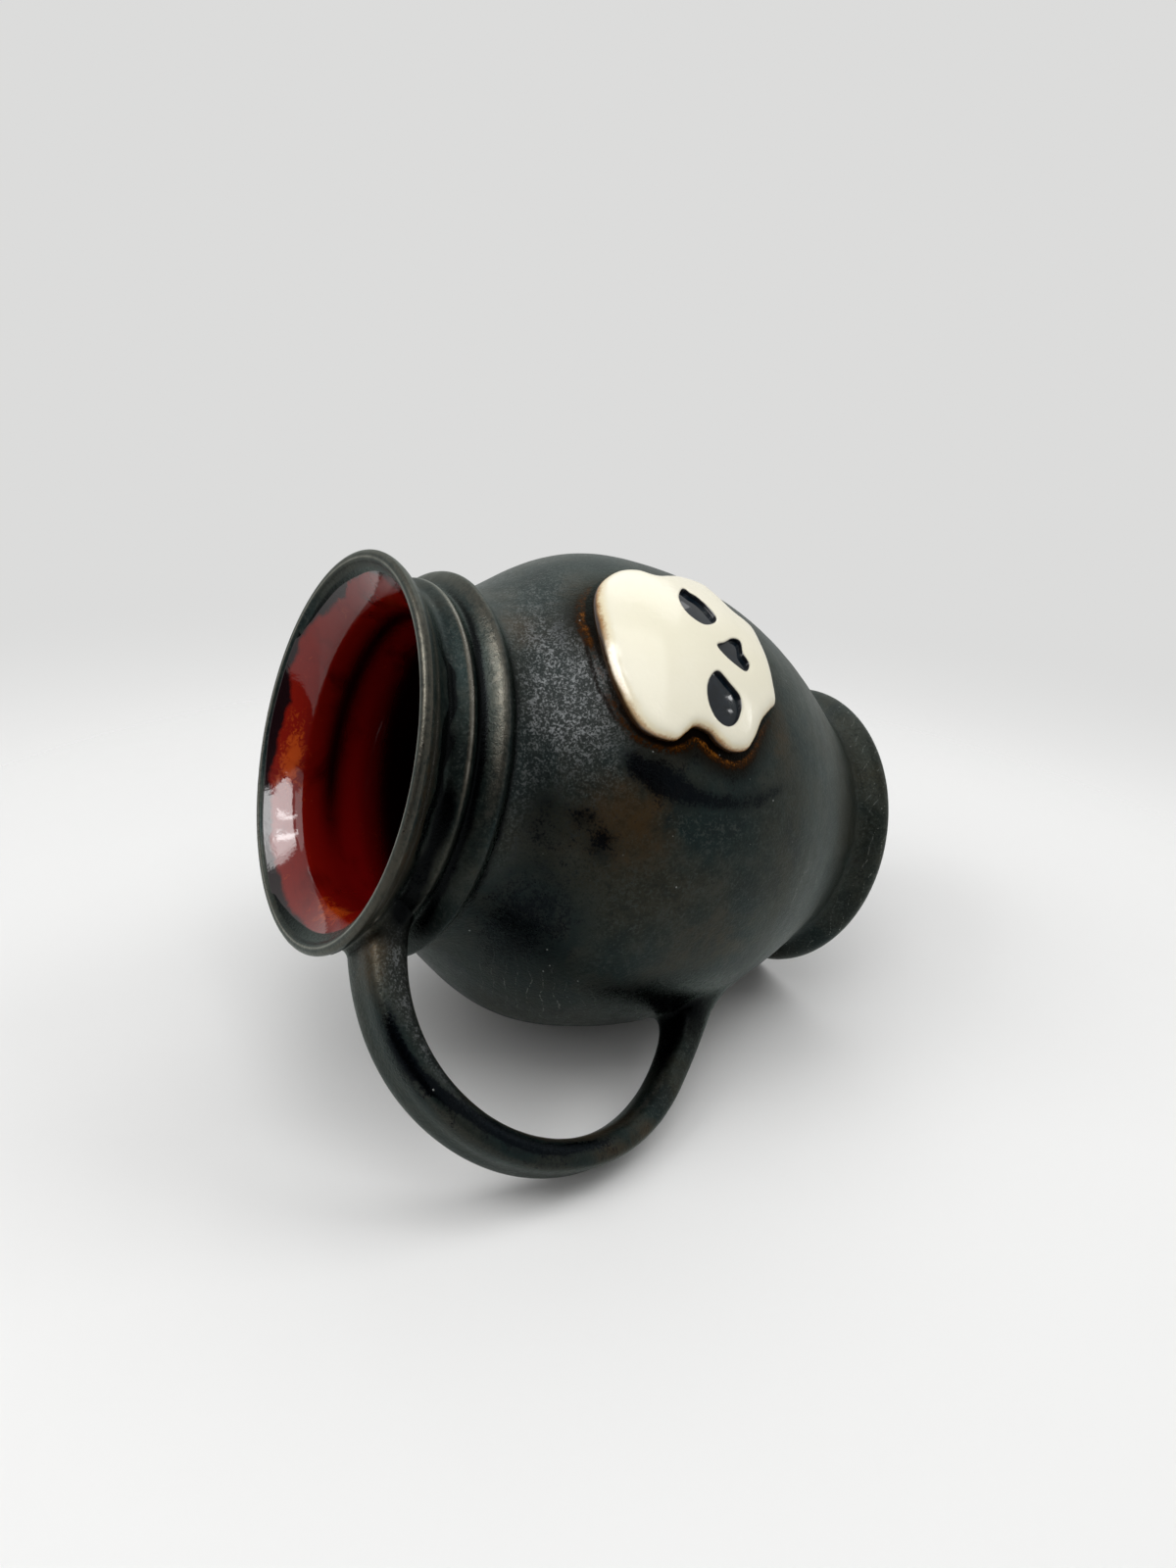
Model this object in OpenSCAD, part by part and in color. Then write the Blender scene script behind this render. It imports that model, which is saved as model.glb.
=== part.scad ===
// Stoneware mug with a pot belly, a strap handle and a skull relief on its side.
// Origin: centre of the underside of the foot. +Z is up, the handle points to -X.

/* [Foot and belly] */
// Radius of the foot at its widest
foot_r = 33.2; // [28:0.1:40]
// Height of the foot's widest point above its flat underside
foot_rise = 1.8; // [1:0.1:4]
// How far the foot's edge is rounded in towards the underside
foot_round = 1.4; // [0.5:0.1:3]
// Radius of the waist above the foot
waist_r = 30.2; // [24:0.1:33]
// Height of the waist
waist_z = 8; // [5:0.5:14]
// Radius of the belly at its widest
belly_r = 49.9; // [44:0.1:56]
// Height of the belly's widest point
belly_z = 62; // [54:0.5:70]
// Fullness of the belly below its widest point, where less is fuller
belly_low_power = 0.62; // [0.5:0.02:1]
// Fullness of the shoulder above it, where more is fuller
belly_high_power = 1.5; // [1:0.05:2]

/* [Collar, neck and lip] */
// Radius of the hollow under the collar bead
collar_r = 35.5; // [32:0.1:40]
// Height of the hollow under the collar bead
collar_z = 100; // [92:0.5:112]
// Radius of the collar bead
bead_r = 38.1; // [35:0.1:42]
// Rise from the hollow to the crest of the bead
bead_rise = 3.3; // [2:0.1:6]
// Radius of the groove above the bead
groove_r = 34.5; // [31:0.1:38]
// Rise from the crest of the bead to the groove
groove_rise = 3.6; // [2:0.1:6]
// Radius of the small ridge above the groove
ridge_r = 35.5; // [32:0.1:39]
// Rise from the groove to the ridge
ridge_rise = 2.1; // [1:0.1:4]
// Radius of the neck
neck_r = 33.8; // [31:0.1:37]
// Rise from the ridge to the neck
neck_rise = 3; // [2:0.1:6]
// Radius of the flared lip
lip_r = 38.5; // [36:0.1:44]
// Rise from the neck to the widest point of the lip
lip_rise = 6.3; // [4:0.1:10]
// Thickness of the rim
rim_t = 3; // [2:0.1:4]
// Height of the rounded rim above the lip's widest point
rim_rise = 1.7; // [1:0.1:3]

/* [Inside] */
// Thickness of the belly wall
wall_t = 4; // [3:0.1:6]
// Thickness of the wall at the neck
neck_t = 3.6; // [2.5:0.1:5]
// Thickness of the floor
floor_t = 7; // [4:0.1:10]
// Radius of the flat of the floor
floor_r = 17; // [10:0.5:20]
// Rise of the rounded corner between floor and wall
floor_round = 8; // [4:0.5:12]
// Thickness of the glaze coat inside
liner_t = 0.6; // [0.3:0.1:1.2]
// How far below the lip's widest point the glaze coat inside ends
liner_drop = 1.5; // [0.5:0.1:8]

/* [Handle] */
// Height of the handle's upper end below the neck's narrowest point
handle_top_drop = 0; // [-1:0.1:3]
// Height of the handle's lower end on the belly
handle_low_z = 42.5; // [35:0.5:60]
// Reach of the curve out of the upper end
handle_top_reach = 39.5; // [30:0.5:60]
// Rise of the curve out of the upper end
handle_top_lift = 5; // [0:0.5:20]
// Reach of the curve out of the lower end
handle_low_reach = 49.5; // [30:0.5:60]
// Rise of the curve out of the lower end
handle_low_lift = 18.5; // [0:0.5:30]
// Width of the strap at its upper end
handle_top_w = 12.4; // [9:0.1:18]
// Width of the strap at its lower end
handle_low_w = 8.2; // [7:0.1:16]
// Thickness of the strap at its upper end
handle_top_t = 8.5; // [6:0.1:11]
// Thickness of the strap at its lower end
handle_low_t = 6; // [4:0.1:9]
// Spread of the strap where its upper end meets the neck
handle_top_flare = 0.8; // [0:0.1:2]
// Spread of the strap where its lower end meets the belly
handle_low_flare = 2.6; // [0:0.1:4]
// Depth of the thumb groove along the outside of the strap
thumb_groove = 0.7; // [0:0.1:1.5]
// Radius of the wad of clay behind the upper end
top_wad_r = 8.2; // [7.5:0.1:9.5]
// Half width of the clay pad under the lower end
low_pad_w = 7.5; // [6:0.1:11]
// Reach of the clay pad above the lower end
low_pad_up = 8.5; // [7:0.1:14]
// Reach of the clay pad below the lower end
low_pad_down = 13; // [8:0.1:18]
// Thickness of the clay pad under the lower end
low_pad_t = 1.2; // [0.6:0.1:2.5]

/* [Skull] */
// Angle from the handle round to the middle of the skull
skull_turn = 97.5; // [70:0.5:130]
// Height of the middle of the skull
skull_z = 67.7; // [60:0.1:72]
// Width of the skull, measured round the belly
skull_w = 42; // [30:0.5:50]
// Height of the skull
skull_h = 35.4; // [25:0.1:40]
// Thickness of the relief
skull_t = 2.2; // [1.2:0.1:4]
// Thickness of the relief at its rounded edge
skull_edge_t = 0.6; // [0.3:0.1:1]
// Sideways shift of the eyes and the nose from the middle of the skull
face_shift = -1.2; // [-2:0.1:2]
// Distance of each eye from the middle of the face
eye_x = 10.4; // [8:0.1:13]
// Drop of the eyes below the middle of the skull
eye_drop = 1.9; // [0:0.1:6]
// Width of an eye
eye_w = 10.4; // [6:0.1:12]
// Height of an eye
eye_h = 7.8; // [5:0.1:10]
// Drop of the nose below the middle of the skull
nose_drop = 6.5; // [5:0.1:10]
// Width of the nose
nose_w = 7.5; // [4:0.1:9]
// Height of the nose
nose_h = 7.1; // [4:0.1:8]
// Thickness of the glaze pools in the sockets
pool_t = 0.9; // [0.4:0.1:1.8]

/* [Clearances] */
// Clearance between a piece and the clay that it is stuck to
seat_gap = 0.06; // [0.02:0.01:0.2]
// Clearance round a glaze pool in its socket
pool_gap = 0.12; // [0.05:0.01:0.3]

/* [Hidden] */
$fn = 96;

// Heights up the body, each measured from the feature below it
bead_z = collar_z + bead_rise;
groove_z = bead_z + groove_rise;
ridge_z = groove_z + ridge_rise;
neck_z = ridge_z + neck_rise;
lip_z = neck_z + lip_rise;

// Radii inside the body
throat_r = neck_r - neck_t;
mouth_r = lip_r - rim_t;
inner_belly_r = belly_r - wall_t;
inner_floor_z = floor_t + floor_round;

// Steps along each curve
curve_steps = 16;
small_steps = 8;
round_steps = 6;

// A curve from one radius to another that leaves and arrives upright
function swell(z, z0, r0, z1, r1, power = 1) =
  r0 + (r1 - r0) * (1 - cos(180 * pow((z - z0) / (z1 - z0), power))) / 2;

// Radius of the outside of the body at a height
function outer_r(z) =
  z >= neck_z ? swell(min(z, lip_z), neck_z, neck_r, lip_z, lip_r) :
  z >= ridge_z ? swell(z, ridge_z, ridge_r, neck_z, neck_r) :
  z >= groove_z ? swell(z, groove_z, groove_r, ridge_z, ridge_r) :
  z >= bead_z ? swell(z, bead_z, bead_r, groove_z, groove_r) :
  z >= collar_z ? swell(z, collar_z, collar_r, bead_z, bead_r) :
  z >= belly_z ? swell(z, belly_z, belly_r, collar_z, collar_r, belly_high_power) :
  z >= waist_z ? swell(z, waist_z, waist_r, belly_z, belly_r, belly_low_power) :
  swell(max(z, foot_rise), foot_rise, foot_r, waist_z, waist_r);

// Radius of the inside of the body at a height above the floor's rounded corner
function inner_r(z) =
  z >= neck_z ? swell(z, neck_z, throat_r, lip_z, mouth_r) :
  z >= collar_z ? throat_r :
  z >= belly_z ? swell(z, belly_z, inner_belly_r, collar_z, throat_r, belly_high_power) :
  swell(z, waist_z, waist_r - wall_t, belly_z, inner_belly_r, belly_low_power);

// Heights from one level to the next, without the last
function levels(z0, z1, steps) = [for (i = [0 : steps - 1]) z0 + (z1 - z0) * i / steps];

foot_corner = [for (i = [0 : round_steps - 1])
  let (a = 90 * i / round_steps)
  [foot_r - foot_round * (1 - sin(a)), foot_rise * (1 - cos(a))]];
outer_levels = concat(
  levels(foot_rise, waist_z, small_steps),
  levels(waist_z, belly_z, curve_steps),
  levels(belly_z, collar_z, curve_steps),
  levels(collar_z, bead_z, small_steps),
  levels(bead_z, groove_z, small_steps),
  levels(groove_z, ridge_z, round_steps),
  levels(ridge_z, neck_z, round_steps),
  levels(neck_z, lip_z, small_steps));
rim = [for (i = [0 : 2 * round_steps - 1])
  let (a = 90 * i / round_steps)
  [lip_r - rim_t / 2 * (1 - cos(a)), lip_z + rim_rise * sin(a)]];

inner_levels = concat(
  levels(lip_z, neck_z, small_steps),
  [neck_z],
  levels(collar_z, belly_z, curve_steps),
  levels(belly_z, inner_floor_z, curve_steps));
liner_levels = [for (z = inner_levels) if (z <= lip_z - liner_drop) z];

// The inside from a rim level down to the middle of the floor, drawn in by an inset
function inside(rim_levels, inset) = concat(
  [for (z = rim_levels) [inner_r(z) - inset, z]],
  [for (i = [0 : round_steps])
    let (a = 90 - 90 * i / round_steps)
    [floor_r + (inner_r(inner_floor_z) - inset - floor_r) * sin(a),
      inner_floor_z - (floor_round - inset) * cos(a)]],
  [[0, floor_t + inset]]);

// Reverses a list
function reversed(list) = [for (i = [len(list) - 1 : -1 : 0]) list[i]];

// The outside from the foot to the lip
outside = concat(foot_corner, [for (z = outer_levels) [outer_r(z), z]]);

module thrown_body() {
  color("#2b2a27")
    rotate_extrude()
      polygon(concat([[0, 0]], outside, rim, inside(inner_levels, 0)));
}

module liner_glaze() {
  top_z = lip_z - liner_drop;
  coat_levels = concat([top_z], liner_levels);
  color("#8c1410")
    rotate_extrude()
      polygon(concat(inside(coat_levels, seat_gap), reversed(inside(coat_levels, liner_t))));
}

// Handle: a loft along a cubic curve in the upright plane through -X
handle_seat_r = bead_r;
handle_top_z = neck_z - handle_top_drop;
handle_curve = [
  [handle_seat_r, handle_top_z],
  [handle_seat_r + handle_top_reach, handle_top_z + handle_top_lift],
  [outer_r(handle_low_z) + handle_low_reach, handle_low_z + handle_low_lift],
  [outer_r(handle_low_z), handle_low_z]];
handle_stations = 44;
handle_sides = 28;
handle_squareness = 0.77;
flare_share = 0.13;
cap_rings = [0.8, 0.6, 0.4, 0.2];
search_in = 0.12;
search_out = 0.25;
search_steps = 16;

function curve_at(s) =
  let (p = handle_curve, q = 1 - s)
  q * q * q * p[0] + 3 * q * q * s * p[1] + 3 * q * s * s * p[2] + s * s * s * p[3];
function curve_dir(s) =
  let (p = handle_curve, q = 1 - s,
    d = q * q * (p[1] - p[0]) + 2 * q * s * (p[2] - p[1]) + s * s * (p[3] - p[2]))
  d / norm(d);
function rounded(x) = sign(x) * pow(abs(x), handle_squareness);
function flare(s) =
  handle_top_flare * pow(max(0, 1 - s / flare_share), 2)
    + handle_low_flare * pow(max(0, 1 - (1 - s) / flare_share), 2);

// A point on the strap: s along the curve, a round the section, q from its middle to its skin
function strap_point(s, a, q) =
  let (c = curve_at(s), d = curve_dir(s),
    half_w = (handle_top_w + (handle_low_w - handle_top_w) * s + flare(s)) / 2,
    half_t = (handle_top_t + (handle_low_t - handle_top_t) * s) / 2 + (cos(a) > 0 ? flare(s) : 0),
    across = q * rounded(sin(a)),
    dip = cos(a) > 0 ? thumb_groove * q * pow(max(0, 1 - across * across), 2) : 0,
    up = q * rounded(cos(a)) * half_t - dip)
  [-(c[0] - d[1] * up), across * half_w, c[1] + d[0] * up];

// The surfaces that the two ends of the strap seat on
function top_seat_r(z) = max(handle_seat_r, outer_r(z)) + seat_gap;
function low_seat_r(z) = outer_r(z) + low_pad_t + 2 * seat_gap;
function outside_top(p) = norm([p[0], p[1]]) > top_seat_r(p[2]);
function outside_low(p) = norm([p[0], p[1]]) > low_seat_r(p[2]);

// Halves a span of the curve until it ends on a seat
function top_end(a, q, lo, hi, steps) =
  let (mid = (lo + hi) / 2)
  steps == 0 ? hi :
  outside_top(strap_point(mid, a, q)) ? top_end(a, q, lo, mid, steps - 1)
    : top_end(a, q, mid, hi, steps - 1);
function low_end(a, q, lo, hi, steps) =
  let (mid = (lo + hi) / 2)
  steps == 0 ? lo :
  outside_low(strap_point(mid, a, q)) ? low_end(a, q, mid, hi, steps - 1)
    : low_end(a, q, lo, mid, steps - 1);
function strap_top(a, q) = top_end(a, q, -search_in, search_out, search_steps);
function strap_low(a, q) = low_end(a, q, 1 - search_out, 1 + search_in, search_steps);

// Triangles between two rings of n points that start at i and j
function band(i, j, n) = [for (k = [0 : n - 1])
  let (m = (k + 1) % n)
  each [[i + k, j + k, j + m], [i + k, j + m, i + m]]];
// Triangles from a ring to one point
function fan(i, tip, n) = [for (k = [0 : n - 1]) [i + k, tip, i + (k + 1) % n]];

module pulled_handle() {
  n = handle_sides;
  angles = [for (k = [0 : n - 1]) 360 * k / n];
  skin = [for (k = [0 : handle_stations])
    each [for (a = angles)
      let (s0 = strap_top(a, 1), s1 = strap_low(a, 1))
      strap_point(s0 + (s1 - s0) * k / handle_stations, a, 1)]];
  top_cap = [for (q = reversed(cap_rings))
    each [for (a = angles) strap_point(strap_top(a, q), a, q)]];
  low_cap = [for (q = cap_rings)
    each [for (a = angles) strap_point(strap_low(a, q), a, q)]];
  rings = handle_stations + 1 + 2 * len(cap_rings);
  points = concat(top_cap, skin, low_cap,
    [strap_point(strap_top(0, 0), 0, 0), strap_point(strap_low(0, 0), 0, 0)]);
  faces = concat(
    [for (f = fan(0, rings * n, n)) reversed(f)],
    [for (k = [0 : rings - 2]) each band(k * n, (k + 1) * n, n)],
    fan((rings - 1) * n, rings * n + 1, n));
  color("#2b2823")
    polyhedron(points, faces);
}

module upper_join_clay() {
  wad_top_z = lip_z + top_wad_r;
  color("#26231f")
    difference() {
      intersection() {
        translate([-neck_r, 0, handle_top_z])
          sphere(top_wad_r);
        cylinder(r = handle_seat_r, h = wad_top_z);
      }
      rotate_extrude()
        polygon(concat([[0, 0]], [for (p = outside) [p[0] + seat_gap, p[1]]],
          [[lip_r + seat_gap, lip_z], [lip_r + seat_gap, wad_top_z], [0, wad_top_z]]));
    }
}

// Clay and glaze laid on the belly
// A point on the belly: x round it and z up it from the middle of the piece, raised by h
function belly_point(turn, middle_z, p, h) =
  let (z = middle_z + p[1], r = outer_r(z) + h, a = turn + p[0] / belly_r * 180 / PI)
  [r * cos(a), r * sin(a), z];

// A closed curve through hand-chosen points, as unit shares of a width and a height
function spline(p, i, t) =
  let (n = len(p), a = p[(i + n - 1) % n], b = p[i], c = p[(i + 1) % n], d = p[(i + 2) % n])
  b + t / 2 * ((c - a) + t * ((2 * a - 5 * b + 4 * c - d) + t * (3 * (b - c) + d - a)));
function closed_curve(p, steps) = [for (i = [0 : len(p) - 1])
  each [for (k = [0 : steps - 1]) spline(p, i, k / steps)]];
function sized(p, w, h) = [for (q = p) [q[0] * w / 2, q[1] * h / 2]];

// A pad on the belly whose skin has the given heights at the given shares of its outline
module belly_pad(turn, middle_z, outline, shares, heights) {
  n = len(outline);
  rings = len(shares);
  under = [for (k = [0 : rings - 1])
    each [for (p = outline) belly_point(turn, middle_z, shares[k] * p, seat_gap)]];
  over = [for (k = [rings - 1 : -1 : 0])
    each [for (p = outline) belly_point(turn, middle_z, shares[k] * p, heights[k])]];
  points = concat(under, over, [
    belly_point(turn, middle_z, [0, 0], seat_gap),
    belly_point(turn, middle_z, [0, 0], heights[0])]);
  last = 2 * rings;
  faces = concat(
    [for (f = fan(0, last * n, n)) reversed(f)],
    [for (k = [0 : last - 2]) each band(k * n, (k + 1) * n, n)],
    fan((last - 1) * n, last * n + 1, n));
  polyhedron(points, faces);
}

handle_side = 180;
pad_sides = 36;
pad_shares = [0.3, 0.55, 0.72, 0.88, 1];
pad_fullness = [1, 1, 1, 0.7, 0.25];
low_pad_outline = [for (k = [0 : pad_sides - 1])
  let (a = 360 * k / pad_sides)
  [low_pad_w * sin(a), (cos(a) > 0 ? low_pad_up : low_pad_down) * cos(a)]];

module lower_join_clay() {
  color("#26231f")
    belly_pad(handle_side, handle_low_z, low_pad_outline, pad_shares, low_pad_t * pad_fullness);
}

// The hand-cut skull, from the crown down its right side to the chin and up its left side, as shares
// of its half width and half height
skull_right = [[0, 1], [0.4, 0.97], [0.7, 0.89], [0.88, 0.76], [0.99, 0.55], [0.98, 0.33],
  [0.9, 0.17], [0.94, 0], [1, -0.2], [1, -0.44], [0.94, -0.6], [0.78, -0.68], [0.6, -0.76],
  [0.51, -0.9], [0.41, -0.99], [0.2, -1], [0, -1]];
skull_left = [[-0.25, -0.97], [-0.44, -0.94], [-0.53, -0.83], [-0.66, -0.67], [-0.85, -0.53],
  [-0.97, -0.4], [-1, -0.2], [-0.95, -0.03], [-0.87, 0.08], [-0.84, 0.24], [-0.9, 0.34],
  [-0.98, 0.46], [-0.96, 0.63], [-0.86, 0.79], [-0.65, 0.9], [-0.35, 0.98]];
skull_points = concat(skull_right, skull_left);
skull_shares = [0.15, 0.3, 0.45, 0.6, 0.73, 0.84, 0.92, 0.97, 1];
skull_fullness = [1, 1, 1, 1, 1, 0.97, 0.84, 0.55, 0];
skull_side = 180 + skull_turn;

left_eye_points = [[0.99, 0.1], [0.62, -0.42], [0.2, -0.94], [-0.3, -0.93], [-0.82, -0.52],
  [-1, 0.05], [-0.78, 0.65], [-0.25, 0.98], [0.35, 0.93], [0.8, 0.56]];
right_eye_points = [[0.94, 0.18], [0.72, -0.14], [0.5, -0.5], [0.05, -0.82], [-0.48, -0.94],
  [-0.86, -0.4], [-0.96, 0.25], [-0.62, 0.82], [-0.1, 0.98], [0.42, 0.78]];
nose_points = [[0.18, 1], [0.5, 0.35], [0.9, -0.35], [0.86, -0.9], [0.1, -0.76], [-0.48, -1],
  [-0.97, -0.6], [-0.75, 0.05], [-0.3, 0.7]];

left_eye_at = [face_shift - eye_x, -eye_drop];
right_eye_at = [face_shift + eye_x, -eye_drop];
nose_at = [face_shift, -nose_drop];
left_eye_outline = closed_curve(sized(left_eye_points, eye_w, eye_h), 4);
right_eye_outline = closed_curve(sized(right_eye_points, eye_w, eye_h), 4);
nose_outline = closed_curve(sized(nose_points, nose_w, nose_h), 4);

// A socket's hole through the relief, square to the belly at its middle
socket_reach = 8 * skull_t;
module socket(at, outline) {
  middle = belly_point(skull_side, skull_z, at, 0);
  turn = skull_side + at[0] / belly_r * 180 / PI;
  translate(middle)
    rotate([90, 0, turn + 90])
      linear_extrude(socket_reach, center = true)
        polygon(outline);
}

module skull_sprig() {
  color("#f4efdc")
    difference() {
      belly_pad(skull_side, skull_z, closed_curve(sized(skull_points, skull_w, skull_h), 3),
        skull_shares, [for (e = skull_fullness) skull_edge_t + (skull_t - skull_edge_t) * e]);
      socket(left_eye_at, left_eye_outline);
      socket(right_eye_at, right_eye_outline);
      socket(nose_at, nose_outline);
    }
}

// A pool of glaze in a socket
pool_shares = [0.4, 0.75, 1];
module pool(at, outline, w, h) {
  fit = [1 - 2 * pool_gap / w, 1 - 2 * pool_gap / h];
  turn = skull_side + at[0] / belly_r * 180 / PI;
  color("#141a24")
    belly_pad(turn, skull_z + at[1], [for (p = outline) [p[0] * fit[0], p[1] * fit[1]]],
      pool_shares, [for (share = pool_shares) pool_t]);
}

module left_eye_glaze() {
  pool(left_eye_at, left_eye_outline, eye_w, eye_h);
}

module right_eye_glaze() {
  pool(right_eye_at, right_eye_outline, eye_w, eye_h);
}

module nose_glaze() {
  pool(nose_at, nose_outline, nose_w, nose_h);
}

thrown_body();
liner_glaze();
pulled_handle();
upper_join_clay();
lower_join_clay();
skull_sprig();
left_eye_glaze();
right_eye_glaze();
nose_glaze();
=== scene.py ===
import math

import bpy
import numpy as np
from mathutils import Matrix, Vector
from mathutils.geometry import delaunay_2d_cdt


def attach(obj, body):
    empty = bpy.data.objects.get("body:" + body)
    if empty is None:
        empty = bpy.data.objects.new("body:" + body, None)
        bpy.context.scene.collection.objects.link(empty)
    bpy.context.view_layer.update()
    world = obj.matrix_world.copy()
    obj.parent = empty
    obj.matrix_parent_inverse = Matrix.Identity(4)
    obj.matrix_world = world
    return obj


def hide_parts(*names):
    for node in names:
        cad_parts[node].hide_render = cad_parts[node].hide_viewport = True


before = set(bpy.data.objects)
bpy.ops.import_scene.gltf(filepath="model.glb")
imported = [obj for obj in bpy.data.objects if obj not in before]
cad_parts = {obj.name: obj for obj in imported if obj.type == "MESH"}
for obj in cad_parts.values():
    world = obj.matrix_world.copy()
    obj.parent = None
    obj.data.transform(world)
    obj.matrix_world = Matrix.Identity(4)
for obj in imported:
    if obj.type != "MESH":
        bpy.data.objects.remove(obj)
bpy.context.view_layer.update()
scene = bpy.context.scene
scene.view_settings.view_transform = "Standard"
MM = 0.001

# Sizes in millimetres: the solids' own, and those that only the dressed pieces have

BELLY_R = 49.9
BELLY_Z, COLLAR_Z, LIP_Z = 62, 100, 118.3
# Height, radius and fullness of the curve that leads up to it, from the foot to the lip
OUTSIDE = [(1.8, 33.2, 1), (8, 30.2, 1), (BELLY_Z, BELLY_R, 0.62), (COLLAR_Z, 35.5, 1.5),
           (103.3, 38.1, 1), (106.9, 34.5, 1), (109, 35.5, 1), (112, 33.8, 1), (LIP_Z, 38.5, 1)]
INSIDE = [(8, 26.2, 1), (BELLY_Z, 45.9, 0.62), (COLLAR_Z, 30.2, 1.5), (112, 30.2, 1), (LIP_Z, 35.5, 1)]
FOOT_ROUND = 1.4
CREST_T, RIM_RISE = 2.2, 0.8
FLOOR_R, FLOOR_Z, FLOOR_CORNER_Z = 17.0, 7.0, 15.0
COAT_T = 0.6
COAT_TOP = 117.3
# How far below that height the black of the lip runs down the red, by degrees round the mouth
BAND_AT = [0, 8, 15, 25, 34, 41, 45, 50, 58, 75, 95, 115, 130, 150, 165, 190, 230, 270, 310, 335,
           345, 352, 360]
BAND_DEPTH = [0.9, 0.5, -0.1, -0.4, -0.4, 0.3, 1.4, 0.4, 0.1, 0, 0, 0.2, 0.4, 0.2, 0, 0.3, 0.6, 0.9,
              0.7, -0.2, 0.4, 1.5, 0.9]
MOUTH_LOW, MOUTH_TOP, MOUTH_FLARE = 111.5, 118.6, 6.1
LIP_LEAN = 0.8
THROAT_Z = 98.0
# Steps round the pot and its coat, the coat's edge, and its gap to the wall
TURNS, COAT_EDGE, COAT_GAP = 288, 0.07, 0.06

STRAP_PATH = [(38.1, 112.0), (77.6, 117.0), (96.03, 61.0), (46.53, 42.5)]
STRAP_W, STRAP_T = (12.4, 8.2), (8.5, 6.0)
STRAP_FLARE, FLARE_SHARE = (0.8, 2.6), 0.13
THUMB_GROOVE, STRAP_SQUARENESS = 0.7, 0.77
NECK_SEAT_R = 35.8

SKULL_TURN, SKULL_Z = math.radians(277.5), 67.7
SKULL_W, SKULL_H, SKULL_T = 42.0, 35.4, 2.2
POOL_H = 1.15
# How far the skull and the pools run into the belly, and how far apart their points are
SPRIG_SUNK, POOL_SUNK = 0.4, 0.2
OUTLINE_PITCH, SOCKET_PITCH, POOL_PITCH, CLAY_PITCH = 0.28, 0.24, 0.25, 0.62
# The dark run beside the skull, towards the handle: height, place round the belly, reach and strength
RUN_Z = [46, 50, 55, 61, 67, 72, 77.5, 81.5, 84.5]
RUN_U = [-24, -26, -28.3, -30, -30.2, -29.8, -27.9, -26, -24.5]
RUN_REACH = [1.4, 1.6, 1.7, 1.7, 1.7, 2.5, 3.2, 2.6, 2.0]
RUN_DEPTH = [0, 0.8, 1, 1, 1, 1.4, 1.6, 1.2, 0]
SKULL_RIGHT = [(0, 1), (0.4, 0.97), (0.7, 0.89), (0.88, 0.76), (0.99, 0.55), (0.98, 0.33), (0.9, 0.17),
               (0.94, 0), (1, -0.2), (1, -0.44), (0.94, -0.6), (0.78, -0.68), (0.6, -0.76),
               (0.51, -0.9), (0.41, -0.99), (0.2, -1), (0, -1)]
SKULL_LEFT = [(-0.25, -0.97), (-0.44, -0.94), (-0.53, -0.83), (-0.66, -0.67), (-0.85, -0.53),
              (-0.97, -0.4), (-1, -0.2), (-0.95, -0.03), (-0.87, 0.08), (-0.84, 0.24), (-0.9, 0.34),
              (-0.98, 0.46), (-0.96, 0.63), (-0.86, 0.79), (-0.65, 0.9), (-0.35, 0.98)]
SOCKETS = {
    "left_eye_glaze": ((-11.6, -1.9), (10.4, 7.8), [
        (0.99, 0.1), (0.62, -0.42), (0.2, -0.94), (-0.3, -0.93), (-0.82, -0.52), (-1, 0.05), (-0.78, 0.65),
        (-0.25, 0.98), (0.35, 0.93), (0.8, 0.56)]),
    "right_eye_glaze": ((9.2, -1.9), (10.4, 7.8), [
        (0.94, 0.18), (0.72, -0.14), (0.5, -0.5), (0.05, -0.82), (-0.48, -0.94), (-0.86, -0.4), (-0.96, 0.25),
        (-0.62, 0.82), (-0.1, 0.98), (0.42, 0.78)]),
    "nose_glaze": ((-1.2, -6.5), (7.5, 7.1), [
        (0.18, 1), (0.5, 0.35), (0.9, -0.35), (0.86, -0.9), (0.1, -0.76), (-0.48, -1), (-0.97, -0.6),
        (-0.75, 0.05), (-0.3, 0.7)]),
}


# Shapes

def swell(z, z0, r0, z1, r1, power=1.0):
    """A curve from one radius to another that leaves and arrives upright."""
    share = np.clip((z - z0) / (z1 - z0), 0, 1)
    return r0 + (r1 - r0) * (1 - np.cos(np.pi * share ** power)) / 2


def radius_at(z, stations):
    z = np.asarray(z, float)
    r = np.full(z.shape, float(stations[0][1]))
    for (z0, r0, _), (z1, r1, power) in zip(stations, stations[1:]):
        r = np.where(z >= z0, swell(z, z0, r0, z1, r1, power), r)
    return r


def outer_r(z):
    return radius_at(z, OUTSIDE)


def inner_r(z):
    return radius_at(z, INSIDE)


def mouth_r(z):
    """The inside as it is glazed: it opens in one sweep from the throat to the crest of the lip."""
    share = np.clip((np.asarray(z, float) - MOUTH_LOW) / (MOUTH_TOP - MOUTH_LOW), 0, 1)
    swept = inner_r(MOUTH_LOW) + MOUTH_FLARE * (1 - np.cos(np.pi / 2 * share))
    return np.where(z > MOUTH_LOW, swept, inner_r(z))


def floor_corner(steps, inset):
    """Points down the rounded corner between the wall and the floor inside."""
    a = np.linspace(np.pi / 2, 0, steps)
    wall = float(inner_r(FLOOR_CORNER_Z)) - inset
    drop = FLOOR_CORNER_Z - FLOOR_Z - inset
    return np.c_[FLOOR_R + (wall - FLOOR_R) * np.sin(a), FLOOR_CORNER_Z - drop * np.cos(a)]


def smooth_step(x, low, high):
    t = np.clip((np.asarray(x, float) - low) / (high - low), 0, 1)
    return t * t * (3 - 2 * t)


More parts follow.
